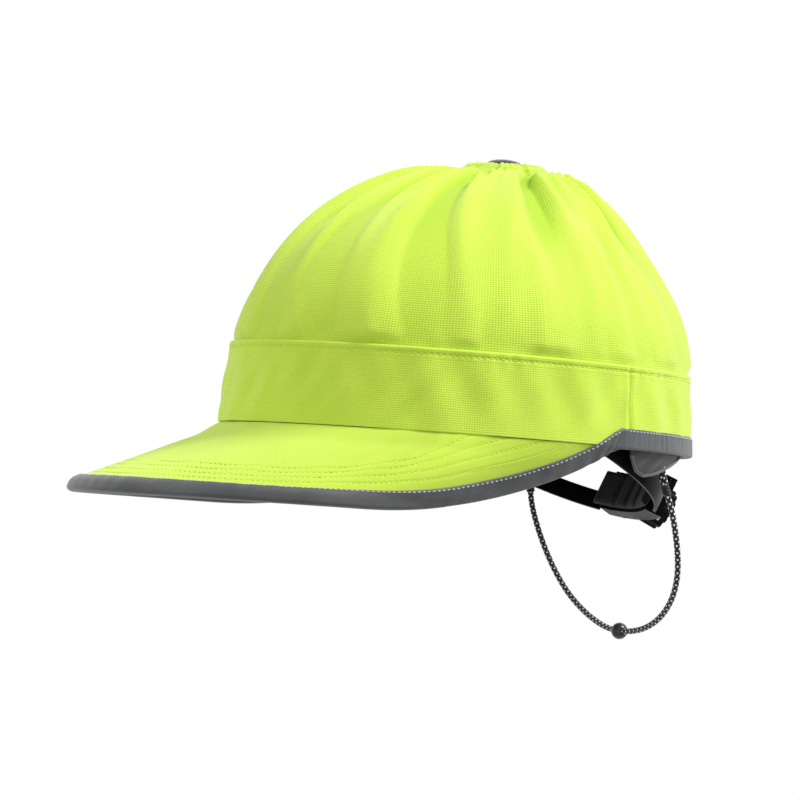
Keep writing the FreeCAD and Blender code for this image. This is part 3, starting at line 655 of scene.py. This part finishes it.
DOME_HEIGHT = 92 * MM
GATHER_UP = math.radians(74)
ROLL_MIDDLE = 15.6 * MM
ROLL_RADIUS = 2.7 * MM
ROLL_HEIGHT = 128.0 * MM
CROWN_CLOTH = 0.9 * MM
VALLEY_FLOOR = 0.3 * MM
VALLEY_EASE = 1.4 * MM
PLEAT_GAIN = 1.75
# How full the cloth stands over the shell, in mm: all over, over its upper part, by the gather, at the rear.
FULL_ALL, FULL_UPPER, FULL_TOP, FULL_REAR = 0.7, 2.4, 1.2, 2.6
# How deep a fold must sink for the full painted shade in its crease.
CREASE_DEPTH = 3.2 * MM


def ripple(angle, height, seed, waves, low, high):
    """Uneven folds from about -1 to 1: waves round the cap whose crests wander with height."""
    chance = random.Random(seed)
    total = np.zeros(np.broadcast(angle, height).shape)
    for _ in range(waves):
        count = chance.randint(low, high)
        lean = chance.uniform(-14, 14)
        fade = 0.65 + 0.35 * np.sin(height * chance.uniform(20, 70) + chance.uniform(0, TURN))
        total += fade * np.sin(count * angle + lean * height * 4 + chance.uniform(0, TURN))
    return total / math.sqrt(waves)


def dome_ring(up, inset):
    """Half axes, height and rearward shift of the dome's ring at an angle above the band."""
    cos_up = np.maximum(np.cos(up), 0) ** DOME_POWER
    sin_up = np.maximum(np.sin(up), 0) ** DOME_POWER
    wide = (HALF_WIDE - inset - BAND_LEAN) * cos_up
    long = (HALF_LONG - inset - BAND_LEAN) * cos_up
    return wide, long, BAND_TOP + (DOME_HEIGHT - inset) * sin_up, TOP_BACK * np.maximum(np.sin(up), 0) ** 6


# Each pleat: bearing in degrees, depth in mm, half width in degrees low down, how far down it reaches
# (0 at the gather, 1 at the band), and how much steeper its forward side is.
PLEATS = (
    (-83, 3.6, 8.0, 1.00, 0.45), (-63, 3.0, 6.5, 1.00, 0.30), (-54, 1.3, 4.0, 0.60, 0.0),
    (-35, 3.0, 6.5, 0.96, 0.15), (5, 3.2, 7.0, 0.60, 0.2), (22, 1.2, 4.5, 0.45, 0.0),
    (46, 3.8, 7.0, 0.66, -0.2), (62, 2.2, 6.0, 0.75, 0.1), (84, 3.2, 7.5, 0.90, 0.2),
    (108, 2.2, 6.5, 0.60, -0.2), (126, 3.6, 7.5, 0.95, 0.2), (149, 2.6, 6.0, 0.70, 0.1),
    (171, 3.3, 7.0, 0.85, -0.2), (193, 1.8, 5.5, 0.55, 0.1), (211, 3.4, 7.0, 0.95, 0.3),
    (233, 2.6, 6.5, 0.75, -0.1), (255, 3.4, 7.5, 1.00, 0.2),
)


def pleat_relief(angle, down):
    """Depth of the pleats, in metres. They are narrow and deep at the gather and broad and soft below."""
    relief = np.zeros(np.broadcast(angle, down).shape)
    for bearing, depth, width, reach, steep in PLEATS:
        away = away_from(angle, bearing)
        broad = math.radians(width) * (0.62 + 0.75 * down)
        side = np.where(away * steep > 0, 1 - abs(steep), 1.0)
        share = np.abs(away) / (broad * side)
        valley = np.exp(-share ** 1.25)
        shoulder = 0.42 * hump(share - 1.9, 0.8)
        fade = 1 - smoothstep(reach * 0.45, reach, down)
        body = 0.35 + 0.65 * smoothstep(0.0, 0.16, down)
        relief += -PLEAT_GAIN * depth * MM * fade * body * (valley - shoulder)
    return relief


# Each dimple beside the gather: bearing in degrees, how far down its middle is, half width in radians,
# half height, depth in mm, and how much it slants.
DIMPLES = (
    (-31, 0.075, 0.085, 0.026, 6.5, 0.0), (6, 0.09, 0.070, 0.055, 6.0, 1.2),
    (47, 0.08, 0.12, 0.050, 4.0, 0.0), (-66, 0.08, 0.10, 0.045, 4.0, 0.0),
)


def dimple(angle, down, bearing, at, wide, high, depth, slant):
    away = away_from(angle + slant * (down - at), bearing)
    return -depth * MM * np.exp(-(away / wide) ** 2 - ((down - at) / high) ** 2)


def make_crown():
    columns, rows, roll_rows = 640, 104, 16
    angle = round_angles(columns)[:, None]
    up = np.concatenate([[-1.0], np.linspace(0, 1, rows - 1) ** 0.92]) * GATHER_UP
    up = up[None, :]
    level = np.maximum(up, 0)
    wide, long, high, back = dome_ring(level, CROWN_INSET)
    high = np.where(up < 0, BAND_TOP - 3.5 * MM, high)
    near_top = smoothstep(0.90, 1.0, level / GATHER_UP)
    round_off = ROLL_MIDDLE + ROLL_RADIUS
    wide = wide * (1 - near_top) + np.maximum(round_off, wide * 0.97) * near_top
    long = long * (1 - near_top) + np.maximum(round_off, long * 0.96) * near_top
    back = back * (1 - near_top) + TOP_BACK * near_top
    points = np.stack([wide * np.cos(angle), long * np.sin(angle) + back, high + 0 * angle], axis=2)
    cos_a, sin_a = np.cos(angle), np.sin(angle)
    turn = np.linspace(0.14, 1.06, roll_rows)[None, :] * math.pi
    roll_r = ROLL_MIDDLE + ROLL_RADIUS * np.cos(turn)
    roll_z = ROLL_HEIGHT + ROLL_RADIUS * np.sin(turn)
    roll = np.stack([roll_r * cos_a, roll_r * sin_a + TOP_BACK, roll_z + 0 * angle], axis=2)
    points = np.concatenate([points, roll], axis=1)
    down = np.concatenate([1 - level / GATHER_UP, np.full((1, roll_rows), 0.0)], axis=1)
    level_share = 1 - down
    normals = grid_normals(points, closed=True)
    at_band = smoothstep(1.0, 0.93, down)
    relief = pleat_relief(angle, down) * (0.12 + 0.88 * at_band)
    tuck = 1 - smoothstep(0.02, 0.22, down)
    relief += 0.55 * MM * tuck * ripple(angle, down * 0, 5, 4, 24, 46)
    relief += 1.25 * MM * at_band * (1 - 0.6 * tuck) * ripple(angle, down * 0.07, 11, 6, 7, 17)
    relief += 0.42 * MM * at_band * ripple(angle, down * 0.12, 23, 6, 20, 44)
    relief += 0.25 * MM * smoothstep(0.6, 1.0, down) * ripple(angle, down * 0.3, 31, 5, 40, 80)
    lift = (FULL_ALL + FULL_UPPER * (1 - smoothstep(0.15, 0.70, down))) * MM
    lift = lift + FULL_TOP * MM * smoothstep(0.80, 0.97, level_share)
    rearward = smoothstep(-0.5, 0.9, np.sin(angle))
    lift = lift + FULL_REAR * MM * (1 - smoothstep(0.20, 0.62, down)) * rearward
    for shape in DIMPLES:
        relief += dimple(angle, down, *shape)
    relief = relief + lift * at_band
    relief = np.where(relief < 0, VALLEY_FLOOR * np.tanh(relief / VALLEY_EASE), relief)
    on_roll = np.concatenate([np.ones(rows - 6), np.linspace(1, 0.35, 6),
                              np.linspace(0.32, 0.15, roll_rows)])[None, :]
    points = points + normals * (relief * on_roll)[..., None]
    # Painted shade: the deeper a point lies in a fold below the cloth's fullness, the darker the knit is
    # painted there.
    fold_shade = np.clip((lift - relief) / CREASE_DEPTH, 0, 1) * at_band
    made = sheet("crown_gathered_cloth", points, CROWN_CLOTH, KNIT, True, shades=fold_shade)
    down_at = lengths_along(points[90])
    fit_weave(made, columns, np.concatenate([down_at, down_at[::-1]]), math.pi * (HALF_WIDE + HALF_LONG))
    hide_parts("crown_fabric", "crown_gather_elastic")


def fit_weave(made, columns, down_at, girth):
    """Cloth coordinates that run level round the cap and draw together towards the gather."""
    around = len(down_at)
    ring = np.append(down_at, down_at[0])
    row = np.tile(np.arange(around), columns)
    here = np.repeat(np.arange(columns) * girth / columns, around)
    there = here + girth / columns
    corners = [here, ring[row], here, ring[row + 1], there, ring[row + 1], there, ring[row]]
    made.data.uv_layers["weave"].data.foreach_set("uv", np.stack(corners, axis=1).astype(np.float32).ravel())


make_crown()

# ---- band


def wall(angle, z, proud):
    """Points on the leaning wall of the band, proud of its middle line."""
    lean = BAND_LEAN * np.clip(z, 0, None) / BAND_TOP
    x, y = (HALF_WIDE - lean) * np.cos(angle), (HALF_LONG - lean) * np.sin(angle)
    out_x, out_y = np.cos(angle) / HALF_WIDE, np.sin(angle) / HALF_LONG
    size = np.hypot(out_x, out_y)
    outward = np.broadcast_arrays(x + proud * out_x / size, y + proud * out_y / size, z + 0 * x)
    return np.stack(outward, axis=-1)


SEAM_ANGLE = math.asin(SEAM_Y / HALF_LONG)
BAND_STITCH = BAND_TOP - 3.0 * MM
# Height and standing out, in mm: the flat of the band, the stitched groove, and the fold at its top.
BAND_PROFILE = [(0.3, -0.2), (0.35, 0.3), (0.55, 0.6)]
BAND_PROFILE += [(z, 0.62) for z in np.linspace(0.8, 33.2, 34)]
BAND_PROFILE += [(33.8, 0.72), (34.3, 0.66), (34.7, 0.42), (35.0, 0.28), (35.3, 0.42), (35.7, 0.72)]
BAND_PROFILE += [(36.3, 0.95), (36.9, 1.05), (37.5, 1.0), (37.95, 0.75), (38.15, 0.3), (38.1, -0.25)]
BAND_PROFILE += [(37.8, -0.7)]


def band_part(name, start, end, node, tucked):
    """One part of the band: its top is folded over and topstitched, and its ends meet at the side seams."""
    columns = int(abs(end - start) * 100 / 0.9)
    angle = np.linspace(start, end, columns)[:, None]
    z = np.array([p[0] for p in BAND_PROFILE])[None, :] * MM
    proud = np.array([p[1] for p in BAND_PROFILE])[None, :] * MM
    middle = hump(z - 18 * MM, 15 * MM)
    lean = angle + z * 3.0
    waves = 0.42 * MM * ripple(lean, z, 3, 7, 11, 30) + 0.20 * MM * ripple(angle - z * 6, z, 7, 6, 24, 52)
    drawn = 0.16 * MM * ripple(angle, z * 0, 9, 5, 60, 110) * hump(z - BAND_STITCH, 4 * MM)
    front_left = away_from(angle, 268)
    bulge = 1.1 * MM * np.exp(-(front_left / 0.30) ** 2 - ((z - 5 * MM) / (7 * MM)) ** 2)
    ends = np.minimum(np.abs(angle - start), np.abs(end - angle)) * HALF_LONG
    turned_in = hump(ends, 1.1 * MM) * -1.3 * MM
    turned_in = turned_in + hump(ends - 3 * MM, 2 * MM) * tucked
    points = wall(angle, z + 0 * angle, proud + waves * middle * 2.4 + drawn + bulge + turned_in)
    made = sheet(name, points, BAND_CLOTH, BAND_KNIT)
    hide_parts(node)
    row = int(np.argmin(np.abs(z[0] - BAND_STITCH)))
    normals = grid_normals(points)[:, row]
    line = points[:, row] + normals * 0.12 * MM
    stitches(name + "_topstitch", line[4:-4], normals[4:-4], 2.9 * MM, 2.1 * MM, 0.28 * MM,
             LIME_THREAD)


band_part("band_front_cloth", math.pi - SEAM_ANGLE, TURN + SEAM_ANGLE, "band_front", 0.7 * MM)
band_part("band_rear_cloth", SEAM_ANGLE, math.pi - SEAM_ANGLE, "band_rear", 0.1 * MM)

# ---- brim

path_s = np.linspace(0, 100 * MM, 2001)
path_slope = BRIM_SLOPE + (LIP_SLOPE - BRIM_SLOPE) * smoothstep(74 * MM, 80 * MM, path_s)
path_fall = np.concatenate([[0], np.cumsum(np.sin(path_slope))[:-1]]) * path_s[1]
path_fall += BRIM_SAG * smoothstep(0, 14 * MM, path_s)
path_reach = np.concatenate([[0], np.cumsum(np.cos(path_slope))[:-1]]) * path_s[1]
EDGE_FALL = -BRIM_LOW - EDGE_FOLD
EDGE_RISE = ((HEM_FRONT - BRIM_TURN_Y) ** 2 + EDGE_FALL ** 2) / (2 * EDGE_FALL)


def edge_height(y):
    """Height of the brim's lower edge: level at the front and an arc up to the hem at the sides."""
    on = np.clip(y - BRIM_TURN_Y, 0, HEM_FRONT - BRIM_TURN_Y)
    deep = EDGE_FALL - EDGE_RISE + np.sqrt(EDGE_RISE ** 2 - on ** 2)
    return -deep * (1 - np.exp(-deep / (3.2 * MM)))


def brim_edge(pitch):
    """Side and y of evenly spaced points along the brim's edge, from one rear end to the other."""
    full_reach = np.interp(EDGE_FALL, path_fall, path_reach)
    turn_hem = math.asin((BRIM_TURN_Y + full_reach) / HALF_LONG)
    front = np.sin(np.linspace(-math.pi / 2, turn_hem, 900)) * HALF_LONG - full_reach
    y = np.concatenate([front, np.linspace(BRIM_TURN_Y, HEM_FRONT, 500)[1:]])
    z = edge_height(y)
    hem_y = y + np.interp(-z, path_fall, path_reach)
    x = HALF_WIDE * oval(hem_y / HALF_LONG)
    at = lengths_along(np.stack([x, y, z], axis=1))
    wanted = np.linspace(0, at[-1], int(at[-1] / pitch))
    half = np.interp(wanted, at, y)
    return np.concatenate([half[:0:-1], half]), np.concatenate([-np.ones(len(half) - 1), np.ones(len(half))])


def slope_share(edge_y):
    """How far the brim follows its slope: 1 at its tip and 0 at its upright rear ends."""
    return 1 - smoothstep(-150 * MM, -20 * MM, edge_y)


def brim_points(edge_y, side, distance):
    """Points of the brim's upper face at distances from its edge, along its slope or upright at its sides."""
    edge_y, side = edge_y[:, None], side[:, None]
    low = edge_height(edge_y)
    follow = slope_share(edge_y)
    edge_s = np.interp(-low, path_fall, path_s)
    raised = -low - np.interp(edge_s - distance, path_s, path_fall)
    raised = np.where(distance < 0, distance * math.sin(LIP_SLOPE), raised)
    z = low + follow * raised + (1 - follow) * distance
    reach_low = np.interp(-low, path_fall, path_reach)
    reach = np.interp(-z, path_fall, path_reach)
    hem_y = edge_y + follow * reach_low + (1 - follow) * reach
    x = side * HALF_WIDE * oval(hem_y / HALF_LONG)
    return np.stack(np.broadcast_arrays(x, hem_y - reach, z), axis=2)


edge_y, edge_side = brim_edge(1.0 * MM)
inner_edge = edge_y < HEM_FRONT - 1.5 * MM
STITCH_STEP = 5.8 * MM
STITCH_ROWS = [BINDING + STITCH_STEP * k for k in (1, 2, 3, 4)]


def brim_depth(edge_y):
    """How far the brim's upper face reaches from its edge up to the hem."""
    low = edge_height(edge_y)
    follow = slope_share(edge_y)
    return follow * np.interp(-low, path_fall, path_s) + (1 - follow) * -low


def make_brim():
    y, side = edge_y[inner_edge], edge_side[inner_edge]
    depth = brim_depth(y)[:, None]
    share = np.linspace(0, 1, 150)[None, :]
    distance = depth * share
    face = brim_points(y, side, distance)
    up = grid_normals(face)
    downward = up[len(y) // 2, 75, 2] < 0
    if downward:
        up = -up
    groove = np.zeros_like(distance)
    for row in STITCH_ROWS:
        groove -= 0.26 * MM * hump(distance - row, 0.7 * MM)
    length = np.linspace(0, 1, len(y))[:, None]
    waves = 0.22 * MM * ripple(length * TURN, distance * 3, 41, 5, 8, 20) * np.sin(math.pi * share) ** 0.5
    puckers = 0.10 * MM * ripple(length * TURN, distance * 0, 43, 5, 50, 110)
    near_rows = sum(hump(distance - row, 2.2 * MM) for row in STITCH_ROWS)
    face = face + up * (groove + waves + puckers * near_rows)[..., None]
    top = sheet("brim_top_cloth", face, 0.7 * MM, BRIM_WEAVE, flip=downward)
    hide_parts("brim_top_fabric")
    core = (face - up * 0.75 * MM)[:, 3:]
    board = sheet("brim_board_sheet", core, 2.1 * MM, BOARD, flip=downward)
    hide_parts("brim_board")
    under = face - up * 2.95 * MM
    below = sheet("brim_under_cloth", under, 0.65 * MM, BRIM_WEAVE, flip=downward)
    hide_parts("brim_under_fabric")
    for number, row in enumerate(STITCH_ROWS):
        reaches = (brim_depth(edge_y) > row + 0.8 * MM) & inner_edge
        line = brim_points(edge_y[reaches], edge_side[reaches], np.full((1, 2), row) + [[0, 0.5 * MM]])
        high = unit(np.cross(np.gradient(line[:, 0], axis=0), line[:, 1] - line[:, 0]))
        high *= np.sign(high[:, 2:3] + 1e-9)
        stitches(f"brim_stitch_row_{number + 1}", line[:, 0] - high * 0.22 * MM, high,
                 2.5 * MM, 1.8 * MM, 0.24 * MM, LIME_THREAD)


make_brim()

# ---- bindings and facing


TAPE_STEPS = np.array([9.0, 8.6, 7.9, 7.2, 6.4, 5.5, 4.6, 3.7, 2.8, 1.9, 1.0, 0.4]) * MM
TAPE_STITCH_ROW = 2
# Creases in the tape near its rear bend: place along the edge, half width and depth, in mm.
TAPE_CREASES = ((41, 1.3, 0.75), (36.5, 1.1, 0.5), (44, 0.9, 0.6), (30, 1.8, 0.3))


def folded_strip(name, outer, normals, thick, width_share, node):
    """Binding tape round an edge: outer runs down the face to the edge, and the fold goes under it."""
    count, rows = outer.shape[:2]
    rise = np.full(rows, TAPE_CLOTH)
    rise[0], rise[1] = 0.15 * MM, 0.55 * MM
    face = outer + normals * (rise[None, :, None] * width_share[:, None, None])
    edge, edge_n = outer[:, -1], normals[:, -1]
    down = unit(outer[:, -1] - outer[:, -3])
    thick = np.broadcast_to(thick, (count,))[:, None]
    half = (thick + 1.6 * MM) / 2
    turns = np.linspace(0, math.pi, 9)[1:-1]
    bend = [edge + edge_n * (TAPE_CLOTH - half + half * math.cos(a)) + down * (half * 0.62 * math.sin(a))
            for a in turns]
    bend = np.stack(bend, axis=1)
    back_rows = outer[:, ::-1] - normals[:, ::-1] * (thick[..., None] + 0.75 * MM)
    inside_back = outer - normals * (thick[..., None] + 0.05 * MM)
    inside_face = outer[:, ::-1] + normals[:, ::-1] * 0.04 * MM
    rings = np.concatenate([face, bend, back_rows, inside_back, inside_face], axis=1)
    made = loft(name, rings, TAPE, sharp=70)
    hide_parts(node)
    line, lift = face[3:-3, TAPE_STITCH_ROW], normals[3:-3, TAPE_STITCH_ROW]
    stitches(name + "_stitches", line - lift * 0.06 * MM, lift, 2.45 * MM, 1.45 * MM, 0.27 * MM,
             PALE_THREAD)


def tape_waves(count, seed, strength):
    """Uneven fullness of sewn tape along its length."""
    angle = np.linspace(0, TURN, count)
    return 1 + strength * ripple(angle, angle * 0, seed, 6, 12, 70)


def make_bindings():
    distance = np.broadcast_to(TAPE_STEPS[None, :], (len(edge_y), len(TAPE_STEPS)))
    outer = brim_points(edge_y, edge_side, distance)
    normals = grid_normals(outer)
    middle = len(edge_y) // 2
    if normals[middle, 2, 2] < 0:
        normals = -normals
    on_band = smoothstep(-3 * MM, 1 * MM, outer[..., 2])
    outer = outer + normals * (0.62 * MM * on_band)[..., None]
    to_hem = smoothstep(HEM_FRONT - 40 * MM, HEM_FRONT, edge_y)
    thick = BRIM_THICK * (1 - to_hem) + HEM_THICK * to_hem
    for place, width, depth in TAPE_CREASES:
        above_middle = outer[..., 2] - edge_height(edge_y)[:, None] - BINDING / 2
        lean = place * MM - edge_y[:, None] + above_middle * 0.5
        outer = outer - normals * (depth * MM * hump(lean, width * MM))[..., None]
    shapes = tape_waves(len(edge_y), 51, 0.16)
    folded_strip("brim_binding_tape", outer, normals, thick, shapes, "brim_binding")
    start = math.asin(HEM_FRONT / HALF_LONG)
    angle = np.linspace(start, math.pi - start, 330)[:, None]
    outer = wall(angle, TAPE_STEPS[None, :] + 0 * angle, 0.62 * MM)
    normals = grid_normals(outer)
    if np.dot(normals[150, 3], outer[150, 3]) < 0:
        normals = -normals
    shapes = tape_waves(len(angle), 53, 0.16)
    folded_strip("hem_binding_tape", outer, normals, HEM_THICK, shapes, "hem_binding")


make_bindings()

LOBE_FRONT, LOBE_BACK = facing_low.y, facing_high.y
# The lobe's lower rim: share of its length, and height in mm.
LOBE_RIM = (
    (0.00, -1.0), (0.02, -5.0), (0.08, -9.2), (0.22, -12.0),
    (0.45, -10.5), (0.75, -6.0), (0.93, -2.9), (1.00, -1.0),
)
RIM_RADIUS = 0.75 * MM


def make_facing():
    for side_name, sign in (("left", 1), ("right", -1)):
        share = np.linspace(0, 1, 60)
        low = np.interp(share, [p[0] for p in LOBE_RIM], [p[1] * MM for p in LOBE_RIM])
        low = np.convolve(np.pad(low, 2, mode="edge"), np.ones(5) / 5, mode="valid")
        y = LOBE_FRONT + (LOBE_BACK - LOBE_FRONT) * share
        angle = np.arcsin(y / HALF_LONG)
        if sign < 0:
            angle = math.pi - angle
        rows = np.linspace(0, 1, 18)[None, :]
        z = low[:, None] * (1 - rows) + 3.5 * MM * rows
        drape = -1.6 * MM + 0.5 * MM * ripple(share[:, None] * 9, z * 20, 61, 4, 1, 3) * (1 - rows)
        points = wall(angle[:, None] + 0 * z, z, drape)
        normals = grid_normals(points)
        flip = np.dot(normals[30, 8, :2], points[30, 8, :2]) < 0
        # The facing cloth takes the darkened tape: painted shade.
        cloth = sheet(f"hem_facing_{side_name}", points, 0.7 * MM, FACING_PAINTED_SHADE, flip=flip)
        places, ahead, _ = resample(points[:, 0], 0.5 * MM)
        side = unit(np.cross(ahead, (0, 0, 1.0)))
        other = np.cross(ahead, side)
        rings = [[p + (s * math.cos(a) + o * math.sin(a)) * RIM_RADIUS for a in round_angles(12)]
                 for p, s, o in zip(places, side, other)]
        loft(f"facing_rim_{side_name}", rings, TAPE)
    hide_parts("hem_facing")


make_facing()

# ---- button


# Radius and height in mm, from the middle of the domed top round to the shank's foot.
BUTTON_PROFILE = (
    (0.02, 135.0), (2, 134.93), (4, 134.7), (6, 134.25), (7.6, 133.6), (8.8, 132.75),
    (9.6, 131.7), (9.95, 130.6), (9.9, 129.6), (9.5, 128.6), (8.8, 127.95), (7.5, 127.8),
    (4.2, 127.8), (4.0, 127.6), (4.0, 125.6), (3.8, 125.4), (0.02, 125.4),
)
BUTTON_SIDES = 96


def make_button():
    rings = []
    for a in round_angles(BUTTON_SIDES):
        rings.append([(r * MM * math.cos(a), TOP_BACK + r * MM * math.sin(a), z * MM)
                      for r, z in BUTTON_PROFILE])
    button = loft("top_button_cap", rings, GLOSS, closed=True, sharp=40)
    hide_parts("top_button")


make_button()

# ---- foam pads and sweatband

PAD_OUTER = 4.9 * MM


def pad_piece(name, outer, thick, material, node, dents=(), body="cap"):
    """A soft pad behind a grid of points, rounded at its rim, with sewn dents across it."""
    count, rows = outer.shape[:2]
    u = np.linspace(-1, 1, count)[:, None]
    v = np.linspace(-1, 1, rows)[None, :]
    span_u = np.linalg.norm(np.diff(outer[:, rows // 2], axis=0), axis=1).sum() / 2
    span_v = np.linalg.norm(np.diff(outer[count // 2], axis=0), axis=1).sum() / 2
    rim = np.minimum((1 - np.abs(u)) * span_u, (1 - np.abs(v)) * span_v)
    share = np.clip(rim / (3.2 * MM), 0, 1)
    plump = 0.18 + 0.82 * np.sqrt(1 - (1 - share) ** 2)
    for at in dents:
        plump = plump * (1 - 0.42 * hump((u - at) * span_u, 1.6 * MM))
    plump = plump * (1 + 0.035 * ripple((u + 1) * 3, v * 0.05, 71, 5, 2, 6))
    normals = grid_normals(outer)
    centre = outer.mean(axis=(0, 1))
    if np.dot(normals[count // 2, rows // 2], centre - np.array([0, 0, 0.02])) < 0:
        normals = -normals
    face = outer - normals * (thick * (1 - plump) * 0.3)[..., None]
    inner = outer - normals * (thick * (0.3 + 0.7 * plump))[..., None]
    rings = np.concatenate([face, inner[:, ::-1]], axis=1)
    made = loft(name, rings, material, sharp=80, body=body)
    if node:
        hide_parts(node)


def dome_patch(first, second, how):
    """Points of the dome inside the shell, over a range across and one of height (or of length on top)."""
    inset = PAD_OUTER
    across, other = np.meshgrid(np.linspace(*first, 60), np.linspace(*second, 48), indexing="ij")
    if how == "top":
        up = np.full(across.shape, 1.2)
        for _ in range(30):
            _, _, _, back = dome_ring(up, inset)
            full_wide, full_long, _, _ = dome_ring(0 * up, inset)
            far = np.hypot(across / full_wide, (other - back) / full_long)
            up = np.arccos(np.clip(far, 0, 1) ** (1 / DOME_POWER))
        _, _, high, _ = dome_ring(up, inset)
        return np.stack([across, other, high], axis=2)
    share = np.clip((other - BAND_TOP) / (DOME_HEIGHT - inset), 0, 1) ** (1 / DOME_POWER)
    wide, long, _, back = dome_ring(np.arcsin(share), inset)
    below = BAND_LEAN * np.clip(BAND_TOP - other, 0, None) / BAND_TOP
    wide, long = wide + below, long + below
    if how in ("left", "right"):
        x = wide * oval((across - back) / long)
        return np.stack([x if how == "left" else -x, across, other], axis=2)
    y = long * oval(across / wide)
    return np.stack([across, back + (y if how == "rear" else -y), other], axis=2)


PAD_THICK = 4.4 * MM
SIDE_PATCH = ((-0.033, 0.049), (0.047, 0.085))
# Each pad: name, node, where it sits, its ranges across and up in metres, and its sewn dents.
PADS = (
    ("crown_pad_foam", "crown_pad", "top", ((-0.033, 0.033), (-0.029, 0.065)), 0.34),
    ("brow_pad_foam", "brow_pad", "front", ((-0.047, 0.047), (0.045, 0.083)), 0.33),
    ("rear_pad_foam", "rear_pad", "rear", ((-0.039, 0.039), (0.027, 0.083)), 0.33),
    ("side_pad_left", "side_pads", "left", SIDE_PATCH, 0.33),
    ("side_pad_right", None, "right", SIDE_PATCH, 0.33),
)
for name, node, how, patch, dent in PADS:
    pad_piece(name, dome_patch(*patch, how), PAD_THICK, FOAM, node, (-dent, dent))


def make_sweatband():
    inset = 11.9 * MM
    edge = math.asin(58 * MM / (HALF_WIDE - inset))
    angle = np.linspace(-math.pi / 2 - edge, -math.pi / 2 + edge, 140)[:, None]
    z = np.linspace(4.5 * MM, 36.5 * MM, 40)[None, :]
    outer = wall(angle, z + 0 * angle, -inset)
    pad_piece("sweatband_towelling", outer, 2.3 * MM, TOWEL, "sweatband")


make_sweatband()

# ---- nape pad

NAPE_CENTRE = Vector((0, 29 * MM, 6 * MM))
NAPE_TILT = math.radians(24)
NAPE_BACK = Vector((0, math.cos(NAPE_TILT), -math.sin(NAPE_TILT)))
NAPE_UP = Vector((0, math.sin(NAPE_TILT), math.cos(NAPE_TILT)))


def nape_grid(radius, half_angle, low, high, columns, rows):
    grid = []
    for a in np.linspace(half_angle, -half_angle, columns):
        out = Vector((1, 0, 0)) * math.sin(a) + NAPE_BACK * math.cos(a)
        grid.append([NAPE_CENTRE + out * radius + NAPE_UP * h for h in np.linspace(low, high, rows)])
    return np.array(grid, float)


nape_outer = nape_grid(73.0 * MM, math.radians(22), -3.2 * MM, 14.2 * MM, 80, 30)
pad_piece("nape_pad_foam", nape_outer, 3.9 * MM, FOAM, "nape_pad", (-0.4, 0, 0.4), "adjuster")

# ---- moulded and metal parts

FINISHES = (
    (SHELL, ("bump_shell",)),
    (KNOB, ("fit_knob",)),
    (WEBBING, ("cord_anchors",)),
    (STEEL, ("clip_rivets", "arm_hinge_pins", "nape_pivot_pins", "housing_screws", "pinion_shaft")),
    (HARNESS, ("headband", "headband_clips", "nape_arm_left", "nape_arm_right", "nape_lug_left",
               "nape_lug_right", "adjuster_back", "adjuster_cover", "fit_pinion")),
)
EDGE_ROUND = {
    "bump_shell": 0.3, "fit_knob": 0.3, "adjuster_back": 0.4, "adjuster_cover": 0.4,
    "nape_arm_left": 0.35, "nape_arm_right": 0.35, "headband": 0.25, "cord_anchors": 0.3,
}
EDGE_SHARP = math.radians(35)
WELD_WITHIN = 0.01 * MM


def round_edges(part, width):
    weld = part.modifiers.new("weld", "WELD")
    weld.merge_threshold = WELD_WITHIN
    rounding = part.modifiers.new("round", "BEVEL")
    rounding.width = width
    rounding.segments = 2
    rounding.limit_method = "ANGLE"
    rounding.angle_limit = EDGE_SHARP


for finish, names in FINISHES:
    for name in names:
        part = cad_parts[name]
        part.data.materials.clear()
        part.data.materials.append(finish)
        if name in EDGE_ROUND:
            round_edges(part, EDGE_ROUND[name] * MM)

# ---- light


# Name, place in metres, power in watts, and size in metres.
SOFTBOXES = (
    ("key", (0.8, 0.98, 1.55), 37, 0.6),
    ("front_fill", (0.6, -1.5, 1.3), 8, 1.0),
    ("far_fill", (-0.9, -1.0, 0.7), 2, 1.0),
)
LIGHT_AIM = Vector((0, 0, 0.04))
# The world's strength, from the side the camera is on to the far side.
WORLD_RAMP = {"From Min": -0.2, "From Max": 0.9, "To Min": 0.52, "To Max": 1.0}


def soft_light(name, place, power, size):
    """A square softbox that faces the cap."""
    data = bpy.data.lights.new(name, "AREA")
    data.energy = power
    data.size = size
    light = add_object(name, data)
    light.location = place
    light.rotation_euler = (LIGHT_AIM - Vector(place)).to_track_quat("-Z", "Y").to_euler()


def make_light():
    """A white studio: bright behind the cap, and a large softbox high on its rear side."""
    world = bpy.data.worlds.new("studio")
    bpy.context.scene.world = world
    world.use_nodes = True
    nodes, links = world.node_tree.nodes, world.node_tree.links
    direction = nodes.new("ShaderNodeTexCoord").outputs["Generated"]
    toward = nodes.new("ShaderNodeVectorMath")
    toward.operation = "DOT_PRODUCT"
    links.new(direction, toward.inputs[0])
    toward.inputs[1].default_value = (-math.sin(VIEW_AZIMUTH), math.cos(VIEW_AZIMUTH), 0)
    ramp = nodes.new("ShaderNodeMapRange")
    ramp.interpolation_type = "SMOOTHSTEP"
    links.new(toward.outputs["Value"], ramp.inputs["Value"])
    for limit, value in WORLD_RAMP.items():
        ramp.inputs[limit].default_value = value
    links.new(ramp.outputs["Result"], nodes["Background"].inputs["Strength"])
    nodes["Background"].inputs["Color"].default_value = (1, 1, 1, 1)
    for softbox in SOFTBOXES:
        soft_light(*softbox)
    bpy.context.scene.view_settings.view_transform = "Standard"


make_light()
